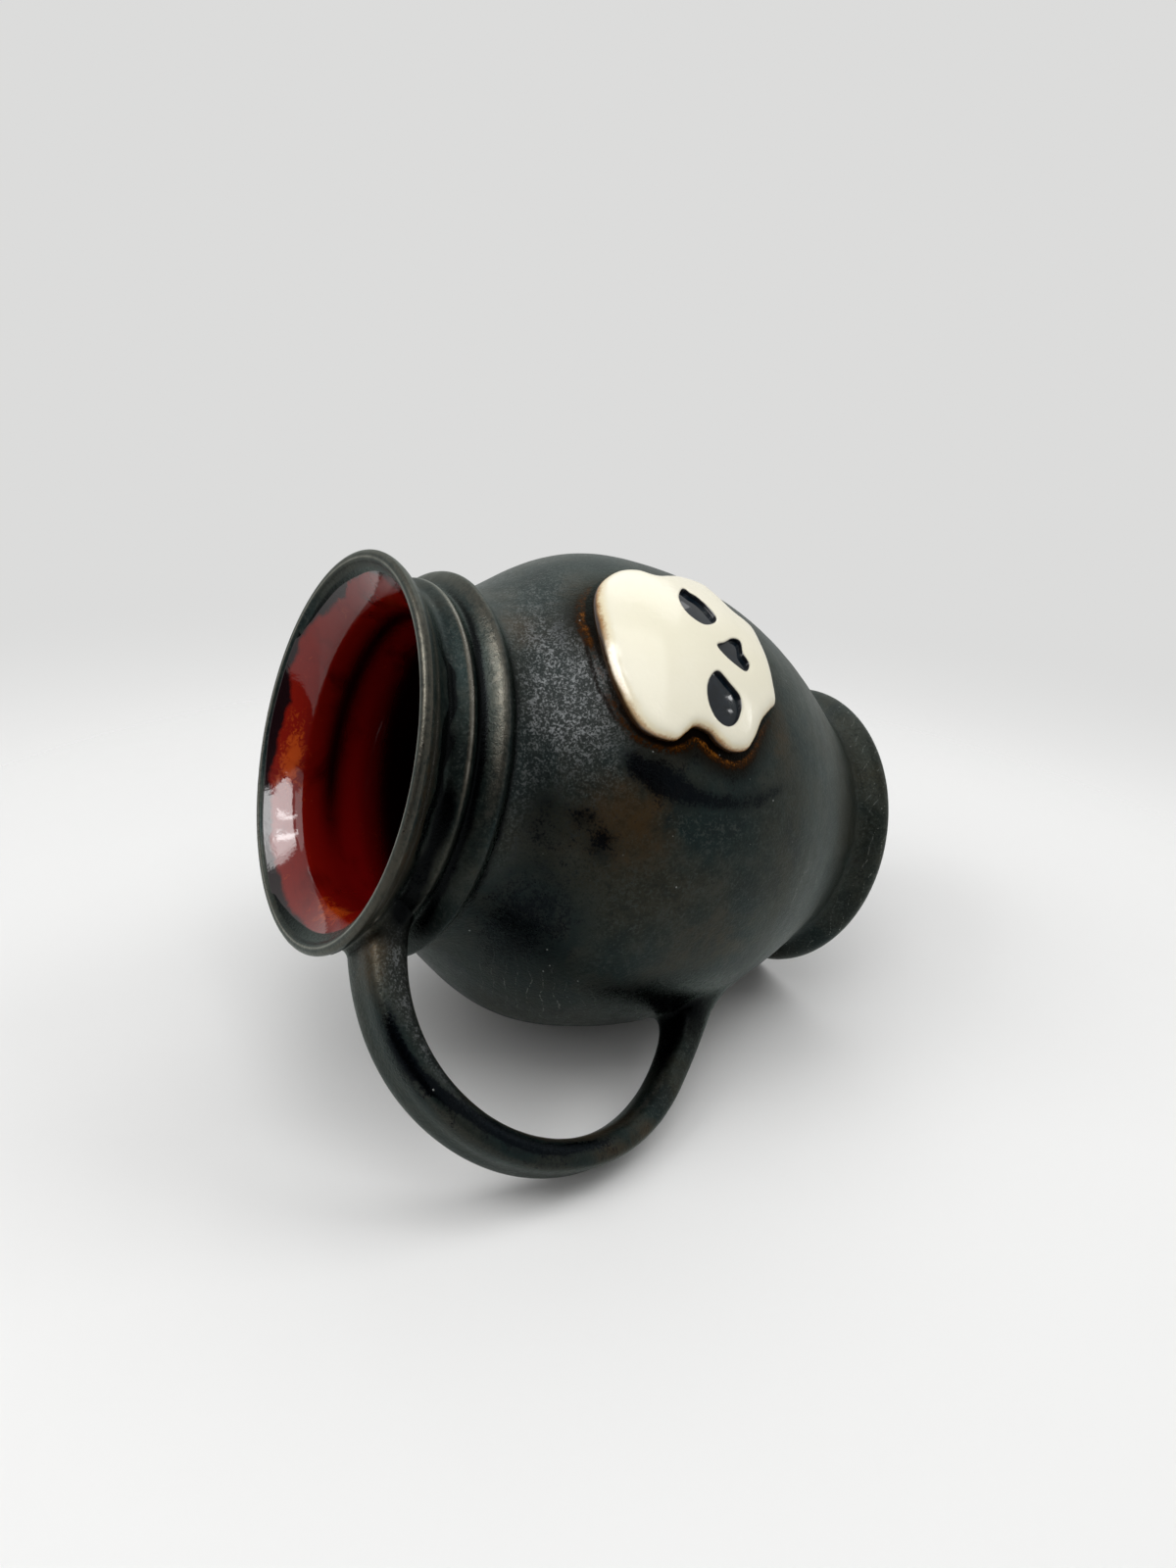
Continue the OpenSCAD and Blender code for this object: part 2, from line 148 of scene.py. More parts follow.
def closed_curve(points, size, steps):
    """A smooth closed curve through listed points, given as shares of half a size."""
    p = np.array(points, float) * np.array(size) / 2
    a, b, c, d = np.roll(p, 1, 0), p, np.roll(p, -1, 0), np.roll(p, -2, 0)
    t = (np.arange(steps) / steps)[None, :, None]
    a, b, c, d = (x[:, None, :] for x in (a, b, c, d))
    curve = b + t / 2 * ((c - a) + t * ((2 * a - 5 * b + 4 * c - d) + t * (3 * (b - c) + d - a)))
    return curve.reshape(-1, 2)


def evenly(curve, pitch):
    """The same closed curve with its points about a pitch apart."""
    loop = np.vstack([curve, curve[:1]])
    run = np.r_[0, np.cumsum(np.linalg.norm(np.diff(loop, axis=0), axis=1))]
    count = max(8, int(round(run[-1] / pitch)))
    at = np.linspace(0, run[-1], count, endpoint=False)
    return np.c_[np.interp(at, run, loop[:, 0]), np.interp(at, run, loop[:, 1])]


def distance_to(curve, points):
    """How far each point lies from a closed curve, less than nothing outside it."""
    a, b = curve, np.roll(curve, -1, 0)
    ab = b - a
    far = np.empty(len(points))
    for i in range(0, len(points), 2000):
        p = points[i:i + 2000, None, :]
        t = np.clip(((p - a) * ab).sum(2) / (ab * ab).sum(1), 0, 1)
        near = np.linalg.norm(p - a - t[..., None] * ab, axis=2).min(1)
        x, y = p[..., 0], p[..., 1]
        rise = np.where(np.abs(ab[:, 1]) < 1e-12, 1e-12, ab[:, 1])
        crosses = ((a[:, 1] > y) != (b[:, 1] > y)) & (x < ab[:, 0] * (y - a[:, 1]) / rise + a[:, 0])
        far[i:i + 2000] = np.where(crosses.sum(1) % 2 == 1, near, -near)
    return far


def on_belly(u, v, height):
    """A point on the belly: u round it and v up it from the middle of the skull, raised by a height."""
    z = SKULL_Z + v
    r = outer_r(z) + height
    a = SKULL_TURN + u / BELLY_R
    return np.c_[r * np.cos(a), r * np.sin(a), z]


def bezier(s):
    """Place and direction on the strap's path, as distance from the middle of the mug and height."""
    p = np.array(STRAP_PATH)
    s = np.asarray(s, float)[..., None]
    q = 1 - s
    at = q ** 3 * p[0] + 3 * q * q * s * p[1] + 3 * q * s * s * p[2] + s ** 3 * p[3]
    way = q * q * (p[1] - p[0]) + 2 * q * s * (p[2] - p[1]) + s * s * (p[3] - p[2])
    return at, way / np.linalg.norm(way, axis=-1, keepdims=True)


def strap_point(s, a, share=1.0):
    """A point on the strap: s along the path, a round the section, a share of the way to its skin."""
    s, a = np.broadcast_arrays(np.asarray(s, float), np.asarray(a, float))
    at, way = bezier(s)
    k = np.clip(s, 0, 1)
    flare = (STRAP_FLARE[0] * np.maximum(0, 1 - k / FLARE_SHARE) ** 2
             + STRAP_FLARE[1] * np.maximum(0, 1 - (1 - k) / FLARE_SHARE) ** 2)
    half_w = (STRAP_W[0] + (STRAP_W[1] - STRAP_W[0]) * k + flare) / 2
    half_t = (STRAP_T[0] + (STRAP_T[1] - STRAP_T[0]) * k) / 2 + np.where(np.cos(a) > 0, flare, 0)
    across = share * np.sign(np.sin(a)) * np.abs(np.sin(a)) ** STRAP_SQUARENESS
    dip = np.where(np.cos(a) > 0, THUMB_GROOVE * share * np.maximum(0, 1 - across ** 2) ** 2, 0)
    up = share * np.sign(np.cos(a)) * np.abs(np.cos(a)) ** STRAP_SQUARENESS * half_t - dip
    return np.stack([-(at[..., 0] - way[..., 1] * up), across * half_w, at[..., 1] + way[..., 0] * up], -1)


# Building meshes

def band_faces(i, j, count):
    """Four-sided faces from one closed row of points to another."""
    k = np.arange(count)
    m = (k + 1) % count
    return np.stack([i + k, i + m, j + m, j + k], -1).tolist()


def ring_faces(rows, count):
    """The same between each of many rows and the next."""
    return [face for i in range(rows - 1) for face in band_faces(i * count, (i + 1) * count, count)]


def fan_faces(i, tip, count, turned):
    """Three-sided faces from a closed row to a point."""
    k = np.arange(count)
    m = (k + 1) % count
    first, second = (i + m, i + k) if turned else (i + k, i + m)
    return np.stack([first, second, np.full(count, tip)], -1).tolist()


def put(name, data):
    thing = bpy.data.objects.new(name, data)
    scene.collection.objects.link(thing)
    return thing


def make_mesh(name, points, faces):
    mesh = bpy.data.meshes.new(name)
    mesh.from_pydata((np.asarray(points) * MM).tolist(), [], faces)
    mesh.validate()
    return mesh


def points_of(mesh):
    flat = np.empty(len(mesh.vertices) * 3, np.float32)
    mesh.vertices.foreach_get("co", flat)
    return flat.reshape(-1, 3).astype(float) / MM


def mark(mesh, **fields):
    """Keeps a value at every point for the glaze to read."""
    for name, values in fields.items():
        field = mesh.attributes.new(name, "FLOAT", "POINT")
        field.data.foreach_set("value", np.asarray(values, np.float32))


def set_out(mesh, node, glaze):
    """Puts a finished piece in the frame in place of its solid."""
    piece = put(node + "_dressed", mesh)
    mesh.materials.clear()
    mesh.materials.append(glaze)
    mesh.polygons.foreach_set("use_smooth", [True] * len(mesh.polygons))
    volume = sum(f.area * f.normal.dot(f.center) for f in mesh.polygons)
    if volume < 0:
        mesh.flip_normals()
    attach(piece, "root")
    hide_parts(node)


# Nodes

class Flow:
    """A value that runs from one node to the next, so that sums read as sums."""

    def __init__(self, bench, socket):
        self.bench, self.socket = bench, socket

    def __add__(self, other):
        return self.bench.math("ADD", self, other)

    def __sub__(self, other):
        return self.bench.math("SUBTRACT", self, other)

    def __rsub__(self, other):
        return self.bench.math("SUBTRACT", other, self)

    def __mul__(self, other):
        return self.bench.math("MULTIPLY", self, other)

    def __truediv__(self, other):
        return self.bench.math("DIVIDE", self, other)

    def __rtruediv__(self, other):
        return self.bench.math("DIVIDE", other, self)

    def __pow__(self, other):
        return self.bench.math("POWER", self, other)

    __radd__, __rmul__ = __add__, __mul__


class Bench:
    """Sets nodes out in a tree and joins them up."""

    def __init__(self, tree):
        self.tree = tree

    def add(self, kind, feeds=None, **settings):
        node = self.tree.nodes.new(kind)
        for name, value in settings.items():
            setattr(node, name, value)
        for name, value in (feeds or {}).items():
            self.feed(node.inputs[name], value)
        return node

    def feed(self, socket, value):
        """Joins a socket to another or sets it to a value. A tuple is a colour."""
        value = value.socket if isinstance(value, Flow) else value
        if isinstance(value, bpy.types.NodeSocket):
            self.tree.links.new(value, socket)
        else:
            socket.default_value = (*value, 1.0) if isinstance(value, tuple) else value

    def flow(self, node, name=0):
        return Flow(self, node.outputs[name])

    def math(self, operation, a, b=0.0):
        return self.flow(self.add("ShaderNodeMath", {0: a, 1: b}, operation=operation))

    def clamp(self, value):
        return self.flow(self.add("ShaderNodeClamp", {"Value": value}))

    def step(self, value, low, high, start=0.0, end=1.0):
        return self.flow(self.add("ShaderNodeMapRange", {
            "Value": value, "From Min": low, "From Max": high, "To Min": start, "To Max": end},
            interpolation_type="SMOOTHSTEP"))

    def parts(self, vector):
        node = self.add("ShaderNodeSeparateXYZ", {0: vector})
        return [self.flow(node, i) for i in range(3)]

    def whole(self, x, y, z):
        return self.add("ShaderNodeCombineXYZ", {0: x, 1: y, 2: z}).outputs[0]

    def scaled(self, vector, scale):
        return self.add("ShaderNodeVectorMath", {0: vector, "Scale": scale}, operation="SCALE").outputs[0]

    def noise(self, place, scale=1.0, detail=3.0, rough=0.5, warp=0.0, seed=0.0):
        return self.flow(self.add("ShaderNodeTexNoise", {
            "Vector": place, "W": seed, "Scale": scale, "Detail": detail, "Roughness": rough,
            "Distortion": warp}, noise_dimensions="4D"))

    def mix(self, share, first, second):
        return self.add("ShaderNodeMix", {0: share, 6: first, 7: second}, data_type="RGBA").outputs[2]

    def coats(self, tone, *rows):
        """A tone with others laid over it in turn, each by its share."""
        for share, over in rows:
            tone = self.mix(share, tone, over)
        return tone

    def field(self, name):
        return self.flow(self.add("ShaderNodeAttribute", attribute_name=name), "Fac")

    def ramp(self, value, *stops):
        node = self.add("ShaderNodeValToRGB", {0: value})
        rungs = node.color_ramp.elements
        while len(rungs) < len(stops):
            rungs.new(0.5)
        for rung, (at, colour) in zip(rungs, stops):
            rung.position, rung.color = at, (*colour, 1)
        return node.outputs[0]


def new_group(name, kind, inputs, outputs):
    """A rule under way. A word by an input's name is its kind, and a number its usual value."""
    tree = bpy.data.node_groups.new(name, kind)
    for label, usual in inputs.items():
        socket = usual if isinstance(usual, str) else "Int" if isinstance(usual, int) else "Float"
        item = tree.interface.new_socket(label, in_out="INPUT", socket_type="NodeSocket" + socket)
        if socket != usual:
            item.default_value = usual
    for label, socket in outputs.items():
        tree.interface.new_socket(label, in_out="OUTPUT", socket_type="NodeSocket" + socket)
    bench = Bench(tree)
    source, sink = bench.add("NodeGroupInput"), bench.add("NodeGroupOutput")

    def given(label):
        return bench.flow(source, label)

    def give(label, value):
        bench.feed(sink.inputs[label], value)

    return bench, given, give


# Effects that several glazes share

def kiln_clouds():
    """Broad, middle and fine cloudiness of a fired glaze, by size in millimetres."""
    bench, given, give = new_group(
        "kiln_clouds", "ShaderNodeTree",
        {"Place": "Vector", "Broad Size": 30.0, "Middle Size": 9.0, "Grain Size": 0.8, "Warp": 0.6},
        {"Broad": "Float", "Middle": "Float", "Grain": "Float"})
    for seed, (name, detail) in enumerate((("Broad", 4.0), ("Middle", 4.0), ("Grain", 2.0))):
        near = bench.scaled(given("Place"), 1.0 / given(name + " Size"))
        cloud = bench.noise(near, 1.0, detail, 0.58, given("Warp"), 3.7 * seed)
        give(name, bench.step(cloud, 0.28, 0.72) if name == "Grain" else cloud)
    return bench.tree


def glaze_flecks():
    """Scattered specks and pinholes, by size in millimetres and the share of cells that has one."""
    bench, given, give = new_group(
        "glaze_flecks", "ShaderNodeTree",
        {"Place": "Vector", "Cell Size": 2.0, "Share": 0.2, "Reach": 0.12},
        {"Flecks": "Float", "Tint": "Float"})
    near = bench.scaled(given("Place"), 1.0 / given("Cell Size"))
    cells = bench.add("ShaderNodeTexVoronoi", {"Vector": near, "Scale": 1.0, "Randomness": 1.0})
    chance = bench.parts(cells.outputs["Color"])
    chosen = bench.math("LESS_THAN", chance[0], given("Share"))
    reach = given("Reach") * (0.4 + chance[1])
    fleck = 1.0 - bench.clamp(bench.flow(cells, "Distance") / reach)
    give("Flecks", chosen * bench.step(fleck, 0.0, 0.6))
    give("Tint", chance[2])
    return bench.tree


CLOUDS, FLECKS = kiln_clouds(), glaze_flecks()


class Glaze(Bench):
    """A material under way: its nodes, its shader, and places on the mug in millimetres."""

    def __init__(self, name):
        self.material = bpy.data.materials.new(name)
        self.material.use_nodes = True
        super().__init__(self.material.node_tree)
        self.shader = self.tree.nodes["Principled BSDF"]
        self.place = self.scaled(self.add("ShaderNodeTexCoord").outputs["Object"], 1.0 / MM)

    def clouds(self, broad, middle, grain, warp):
        node = self.add("ShaderNodeGroup", {
            "Place": self.place, "Broad Size": broad, "Middle Size": middle, "Grain Size": grain,
            "Warp": warp}, node_tree=CLOUDS)
        return [self.flow(node, i) for i in range(3)]

    def flecks(self, cell, share, reach):
        node = self.add("ShaderNodeGroup", {
            "Place": self.place, "Cell Size": cell, "Share": share, "Reach": reach}, node_tree=FLECKS)
        return [self.flow(node, i) for i in range(2)]

    def fire(self, tone, rough, specular, height=None, depth=0.0):
        """Gives the shader its colour, roughness and mirror, and its bump where there is a height."""
        for name, value in (("Base Color", tone), ("Roughness", rough), ("Specular IOR Level", specular)):
            self.feed(self.shader.inputs[name], value)
        if height is not None:
            bump = self.add("ShaderNodeBump", {"Strength": 1.0, "Distance": depth * MM, "Height": height})
            self.feed(self.shader.inputs["Normal"], bump.outputs[0])
        return self.material


# Glazes

# What the black glaze reads at every point
FIELDS = ("worn_and_highlit", "pooled", "silver_and_sheen", "rust", "ink_and_shade", "gap", "burn", "lined", "scuffed")


def black_glaze():
    """Satin gunmetal black: brown on crests, with pale lines of painted highlight; dark in hollows, with
    painted shade low on the belly; silvery with painted sheen; amber where it burns at the skull.
    """
    glaze = Glaze("black_glaze")
    step, clamp = glaze.step, glaze.clamp
    broad, middle, grain = glaze.clouds(34.0, 10.0, 0.7, 0.8)
    _, frost, dust = glaze.clouds(6.0, 2.4, 0.4, 0.3)
    flecks, tint = glaze.flecks(2.6, 0.28, 0.07)
    worn_and_highlit, pooled, silver_and_sheen, rust, ink_and_shade, gap, burn, lined, scuffed = (glaze.field(name) for name in FIELDS)
    middling, frosty, grainy, dusty = (cloud - 0.5 for cloud in (middle, frost, grain, dust))
    speckle = 0.6 * grain + 0.4 * dust + 0.9 * frosty
    rusty = step(rust + 1.3 * middling + 0.8 * frosty, 0.25, 1.2)
    # Wear: brown on crests, and pale where it runs thin; the pale lines on the ridge, the lip and the
    # throwing rings are painted highlight.
    thin = step(worn_and_highlit * (0.3 + 0.8 * frost + 0.3 * grain), 0.25, 0.95)
    bare_and_highlight = step(worn_and_highlit + 1.0 * frosty + 0.8 * middling, 1.0, 1.6)
    # Painted sheen over silvery speckle: a lighter, salted colour that stands for a highlight.
    sheen = clamp(silver_and_sheen * (0.05 + 1.6 * frost + 1.2 * middling))
    salt = step(0.5 * dust + 0.3 * grain + 0.5 * frosty, 0.3, 0.85)
    salted = glaze.mix(salt, (0.015, 0.0165, 0.0165), (0.25, 0.26, 0.265))
    ragged = 0.5 * dusty + 0.5 * grainy
    # The darkest coats: blue-black runs and glaze pooled in hollows, and painted shade on the belly's floor
    # side and on the strap's inner side.
    inky_and_shaded = step(ink_and_shade + 0.8 * middling + 1.4 * frosty + ragged, 0.15, 1.05)
    deep = step(pooled + 0.8 * middling + 0.4 * frosty, 0.25, 0.85)
    near = gap - 0.6 * burn + 1.2 * frosty + 0.7 * middling
    smoked = step(near, 2.0, 6.0, 1.0, 0.0) * clamp(1.1 * burn + 0.5 * frosty)
    scorch = clamp(burn * (1.9 * frost + 0.7 * dust - 0.8))
    scorch = scorch * step(near, 0.0, 0.8) * step(near, 0.9, 3.2, 1.0, 0.0)
    amber = glaze.ramp(scorch, (0.0, (0.006, 0.003, 0.0015)), (0.4, (0.02, 0.007, 0.0016)),
                       (0.7, (0.05, 0.017, 0.0024)), (1.0, (0.15, 0.05, 0.005)))
    charred = step(scorch, 0.06, 0.35)
    line = step(glaze.math("ABSOLUTE", gap + 0.8 * frosty - 2.0), 0.1, 0.5, 0.75, 0.0) * lined
    edge = clamp(step(near, 0.1, 0.95, 1.0, 0.0) * (0.6 + 0.7 * burn) + line)
    rubs = glaze.add("ShaderNodeTexWave", {
        "Vector": glaze.place, "Scale": 0.15, "Distortion": 6.0, "Detail": 2.0, "Detail Scale": 0.9},
        bands_direction="DIAGONAL")
    scratch = step(glaze.flow(rubs, "Fac"), 0.97, 0.998) * step(frost + 0.4 * dusty, 0.5, 0.62)
    tone = glaze.coats(
        glaze.mix(step(broad, 0.38, 0.62), (0.004, 0.012, 0.012), (0.02, 0.0185, 0.0115)),
        (step(middle, 0.42, 0.75), (0.027, 0.029, 0.023)),
        (step(middle, 0.28, 0.5, 0.75, 0.0), (0.0035, 0.006, 0.0068)),
        (0.7 * step(speckle, 0.5, 1.0), (0.045, 0.053, 0.048)),
        (0.6 * step(speckle, 0.1, 0.45, 1.0, 0.0), (0.004, 0.006, 0.006)),
        (0.8 * rusty, (0.05, 0.025, 0.0055)),
        (thin, (0.06, 0.055, 0.044)),
        (0.8 * bare_and_highlight, (0.2, 0.19, 0.165)),
        (0.85 * sheen, salted),
        (0.92 * inky_and_shaded, (0.0008, 0.0016, 0.0034)),
        (deep, (0.0008, 0.001, 0.0014)),
        (0.85 * smoked, (0.007, 0.0042, 0.0024)),
        (charred, amber),
        (edge, (0.0026, 0.0014, 0.0009)),
        (0.85 * scratch * scuffed, (0.2, 0.207, 0.187)),
        (flecks * (0.2 + 0.8 * tint), (0.25, 0.26, 0.25)))
    rough = 0.42 + 0.3 * (broad - 0.5) + 0.1 * grainy - 0.1 * thin - 0.15 * clamp(deep + inky_and_shaded)
    metal = 0.45 + 0.3 * thin + 0.35 * (deep + inky_and_shaded) + 0.45 * (charred + edge + smoked)
    glaze.feed(glaze.shader.inputs["Metallic"], clamp(metal))
    glaze.feed(glaze.shader.inputs["Specular Tint"], (0.9, 1.0, 0.95))
    height = 0.45 * grain + 0.16 * dust + 0.9 * middle + 0.5 * flecks
    return glaze.fire(tone, glaze.math("MAXIMUM", rough, 0.15), 0.2, height, 0.06)


def red_glaze():
    """Thick glassy red: plum below the black lip, orange where it thins, darker further down the inside, with
    painted shade at the throat and below it.
    """
    glaze = Glaze("red_glaze")
    step, field = glaze.step, glaze.field
    broad, middle, grain = glaze.clouds(22.0, 6.0, 1.3, 1.4)
    flecks, tint = glaze.flecks(3.4, 0.14, 0.05)
    middling = middle - 0.5
    below = field("below_band") + 1.5 * middling
    depth = glaze.clamp((field("depth") + 6.0 * middling) / 100.0)
    tone = glaze.ramp(depth, (0.0, (0.17, 0.006, 0.002)), (0.12, (0.15, 0.0015, 0.0018)),
                      (0.4, (0.1, 0.0006, 0.0012)), (1.0, (0.03, 0.0002, 0.0005)))
    tone = glaze.coats(
        tone,
        (step(field("thin") + 1.2 * middling + 0.6 * (grain - 0.5), 0.25, 0.9), (0.34, 0.045, 0.005)),
        (step(broad, 0.52, 0.72), (0.06, 0.0004, 0.0008)),
        # Painted shade at the throat and below it.
        (glaze.clamp(field("shade")), (0.006, 0.0001, 0.0002)))
    tone = glaze.mix(step(below, -0.4, 0.4), (0.007, 0.0014, 0.0024), tone)
    tone = glaze.mix(0.6 * flecks * tint, tone, (0.35, 0.12, 0.06))
    return glaze.fire(tone, 0.04 + 0.05 * grain, 0.5, 0.6 * broad + 0.3 * middle + 0.012 * grain, 0.16)


def cream_glaze():
    """Glossy cream, burnt where it thins over the edge of the relief, with painted shade in a soft grey ring
    round the sockets.
    """
    glaze = Glaze("cream_glaze")
    step, field = glaze.step, glaze.field
    broad, middle, grain = glaze.clouds(16.0, 3.0, 0.5, 0.5)
    flecks, tint = glaze.flecks(3.0, 0.12, 0.06)
    middling = middle - 0.5
    rim = field("edge")
    edge = rim + 0.8 * middling + 0.2 * (grain - 0.5)
    hole = field("hole") + 0.15 * middling
    burn = glaze.clamp(0.28 + field("burn") * (0.4 + 1.0 * middle))
    tone = glaze.coats(
        glaze.mix(step(broad, 0.35, 0.7), (0.86, 0.82, 0.67), (0.84, 0.8, 0.635)),
        (step(edge, 0.3, 1.7, 0.6, 0.0) * burn, (0.74, 0.58, 0.28)),
        (step(edge, 0.15, 0.8, 0.95, 0.0) * burn, (0.34, 0.15, 0.03)),
        (step(rim + 0.2 * middling, 0.03, 0.32, 1.0, 0.0), (0.03, 0.013, 0.005)),
        # Painted shade: a soft grey ring round the sockets.
        (step(hole, 0.0, 0.55, 0.45, 0.0), (0.33, 0.29, 0.22)),
        (step(hole, 0.02, 0.17, 1.0, 0.0), (0.008, 0.009, 0.012)),
        (0.5 * flecks * tint, (0.25, 0.16, 0.07)))
    height = broad + 0.6 * middle + 0.015 * grain - 0.12 * flecks
    return glaze.fire(tone, 0.09 + 0.08 * grain, 0.5, height, 0.15)


def dark_glaze():
    """Blue-black glass pooled in the sockets."""
    glaze = Glaze("dark_glaze")
    broad, middle, grain = glaze.clouds(6.0, 1.8, 0.3, 0.6)
    tone = glaze.mix(glaze.step(middle, 0.35, 0.75), (0.002, 0.005, 0.008), (0.007, 0.013, 0.02))
    tone = glaze.mix(glaze.step(broad, 0.55, 0.8), tone, (0.014, 0.02, 0.023))
    return glaze.fire(tone, 0.03 + 0.03 * grain, 0.36, broad + 0.2 * middle, 0.008)


BLACK, RED, CREAM, DARK = black_glaze(), red_glaze(), cream_glaze(), dark_glaze()


# Rules that shape the thrown and pulled pieces

def grow(seed_mesh, tree, values):
    """The plain mesh that a shaping rule makes from a seed mesh."""
    seed = put("seed", seed_mesh)
    rule = seed.modifiers.new("rule", "NODES")
    rule.node_group = tree
    for item in tree.interface.items_tree:
        if item.in_out == "INPUT" and item.name in values:
            rule[item.identifier] = values[item.name]
    graph = bpy.context.evaluated_depsgraph_get()
    mesh = bpy.data.meshes.new_from_object(seed.evaluated_get(graph), depsgraph=graph)
    bpy.data.objects.remove(seed)
    return mesh


def finish_rule(bench, given, give, geometry):
    """Closes the seam and the poles, and gives the glaze."""
    merged = bench.add("GeometryNodeMergeByDistance", {"Geometry": geometry, "Distance": 0.00001})
    real = bench.add("GeometryNodeRealizeInstances", {0: merged.outputs[0]})
    glazed = bench.add("GeometryNodeSetMaterial", {"Geometry": real.outputs[0], "Material": given("Glaze")})
    give(0, glazed.outputs[0])


def wheel_throwing():
    """Turns a profile round the upright axis, with the shallow spiral that fingers leave in the clay."""
    bench, given, give = new_group(
        "wheel_throwing", "GeometryNodeTree",
        {"Profile": "Geometry", "Turns": 288, "Rings": 300, "Spiral Pitch": 0.004, "Spiral Depth": 0.0001,
         "Spiral Top": 0.04, "Out Of Round": 0.0001, "Lip Lean": 0.0008, "Lip Low": 0.1115,
         "Lip High": 0.1186, "Lean Turn": 4.84, "Seed": 3.0, "Glaze": "Material"},
        {"Pot": "Geometry"})
    sheet = bench.add("GeometryNodeMeshGrid", {
        "Size X": 1.0, "Size Y": 1.0, "Vertices X": given("Turns") + 1.0, "Vertices Y": given("Rings")})
    place = bench.add("GeometryNodeInputPosition").outputs[0]
    along, up, _ = bench.parts(place)
    turn = (along + 0.5) * math.tau
    row = bench.math("ROUND", (up + 0.5) * (given("Rings") - 1.0))
    on_profile = bench.add("GeometryNodeSampleIndex", {
        "Geometry": given("Profile"), "Value": place, "Index": row}, data_type="FLOAT_VECTOR")
    radius, _, height = bench.parts(on_profile.outputs[0])
    cosine, sine = bench.math("COSINE", turn), bench.math("SINE", turn)
    round_and_up = bench.whole(cosine, sine, height * 60.0)
    wander = bench.noise(round_and_up, 1.2, 2.0, 0.5, 0.0, given("Seed"))
    spiral = bench.math("SINE", (height / given("Spiral Pitch")) * math.tau + turn + wander * 5.0)
    fade = bench.step(height, given("Spiral Top") * 0.5, given("Spiral Top"), 1.0, 0.2)
    sunk = given("Spiral Depth") * (0.5 + 0.5 * spiral) * fade
    sunk = sunk + given("Out Of Round") * (0.5 + 0.5 * bench.math("COSINE", turn * 2.0 + 0.7))
    radius = radius - sunk * bench.step(radius, 0.02, 0.026)
    side = 0.5 + 0.5 * bench.math("COSINE", turn - given("Lean Turn"))
    height = height + given("Lip Lean") * side * bench.step(height, given("Lip Low"), given("Lip High"))
    moved = bench.add("GeometryNodeSetPosition", {
        "Geometry": sheet.outputs[0], "Position": bench.whole(radius * cosine, radius * sine, height)})
    finish_rule(bench, given, give, moved.outputs[0])
    return bench.tree


def strap_pulling():
    """Draws a strap out along a curved path, thinner and narrower as it goes, with a thumb groove outside."""
    bench, given, give = new_group(
        "strap_pulling", "GeometryNodeTree",
        {"Clay": "Geometry", "Stations": 200, "Sides": 72, "Start": "Vector", "Start Pull": "Vector",
         "End Pull": "Vector", "End": "Vector", "From": 0.0, "To": 1.0, "Start Width": 0.0124,
         "End Width": 0.0082, "Start Thickness": 0.0085, "End Thickness": 0.006, "Start Flare": 0.0008,
         "End Flare": 0.0026, "Flare Share": 0.13, "Groove": 0.0007, "Squareness": 0.77, "Waver": 0.0002,
         "Seed": 5.0, "Glaze": "Material"},
        {"Strap": "Geometry"})

    def between(name, k):
        return given("Start " + name) + (given("End " + name) - given("Start " + name)) * k

    def squared(value):
        return bench.math("SIGN", value) * bench.math("ABSOLUTE", value) ** given("Squareness") * inner_rings

    sheet = bench.add("GeometryNodeMeshGrid", {
        "Size X": 1.0, "Size Y": 1.0, "Vertices X": given("Sides") + 1.0, "Vertices Y": given("Stations")})
    side, along, _ = bench.parts(bench.add("GeometryNodeInputPosition").outputs[0])
    a = (0.5 - side) * math.tau
    along = along + 0.5
    s = given("From") + (given("To") - given("From")) * along
    q = 1.0 - s
    pulls = [bench.parts(given(name)) for name in ("Start", "Start Pull", "End Pull", "End")]
    at, way = [], []
    for axis in (0, 2):
        p0, p1, p2, p3 = (pull[axis] for pull in pulls)
        at.append(q * q * q * p0 + 3.0 * (q * q * s * p1) + 3.0 * (q * s * s * p2) + s * s * s * p3)
        way.append(q * q * (p1 - p0) + 2.0 * (q * s * (p2 - p1)) + s * s * (p3 - p2))
    length = bench.math("SQRT", way[0] * way[0] + way[1] * way[1])
    way = [w / length for w in way]
    k = bench.clamp(s)
    start_near = bench.math("MAXIMUM", 1.0 - k / given("Flare Share"), 0.0)
    end_near = bench.math("MAXIMUM", 1.0 - (1.0 - k) / given("Flare Share"), 0.0)
    flare = given("Start Flare") * start_near * start_near + given("End Flare") * end_near * end_near
    cosine, sine = bench.math("COSINE", a), bench.math("SINE", a)
    outside = bench.math("GREATER_THAN", cosine, 0.0)
    inner_rings = bench.math("GREATER_THAN", along, 0.0001) * bench.math("LESS_THAN", along, 0.9999)
    half_w = (between("Width", k) + flare) * 0.5
    half_t = between("Thickness", k) * 0.5 + flare * outside
    around, over = squared(sine), squared(cosine)
    hollow = bench.math("MAXIMUM", 1.0 - around * around, 0.0)
    dip = given("Groove") * hollow * hollow * outside * inner_rings
    waver = bench.noise(bench.whole(along * 7.0, around, over), 1.0, 2.0, 0.5, 0.0, given("Seed"))
    steady = bench.step(k, 0.06, 0.2) * bench.step(k, 0.8, 0.94, 1.0, 0.0)
    up = over * (half_t - given("Waver") * waver * steady) - dip
    moved = bench.add("GeometryNodeSetPosition", {
        "Geometry": sheet.outputs[0],
        "Position": bench.whole(way[1] * up - at[0], around * half_w, at[1] + way[0] * up)})
    finish_rule(bench, given, give, moved.outputs[0])
    return bench.tree


# The skull's outline, and where the glazes change

SKULL = closed_curve(SKULL_RIGHT + SKULL_LEFT, (SKULL_W, SKULL_H), 12)
HOLES = {name: closed_curve(points, size, 12) + np.array(at) for name, (at, size, points) in SOCKETS.items()}


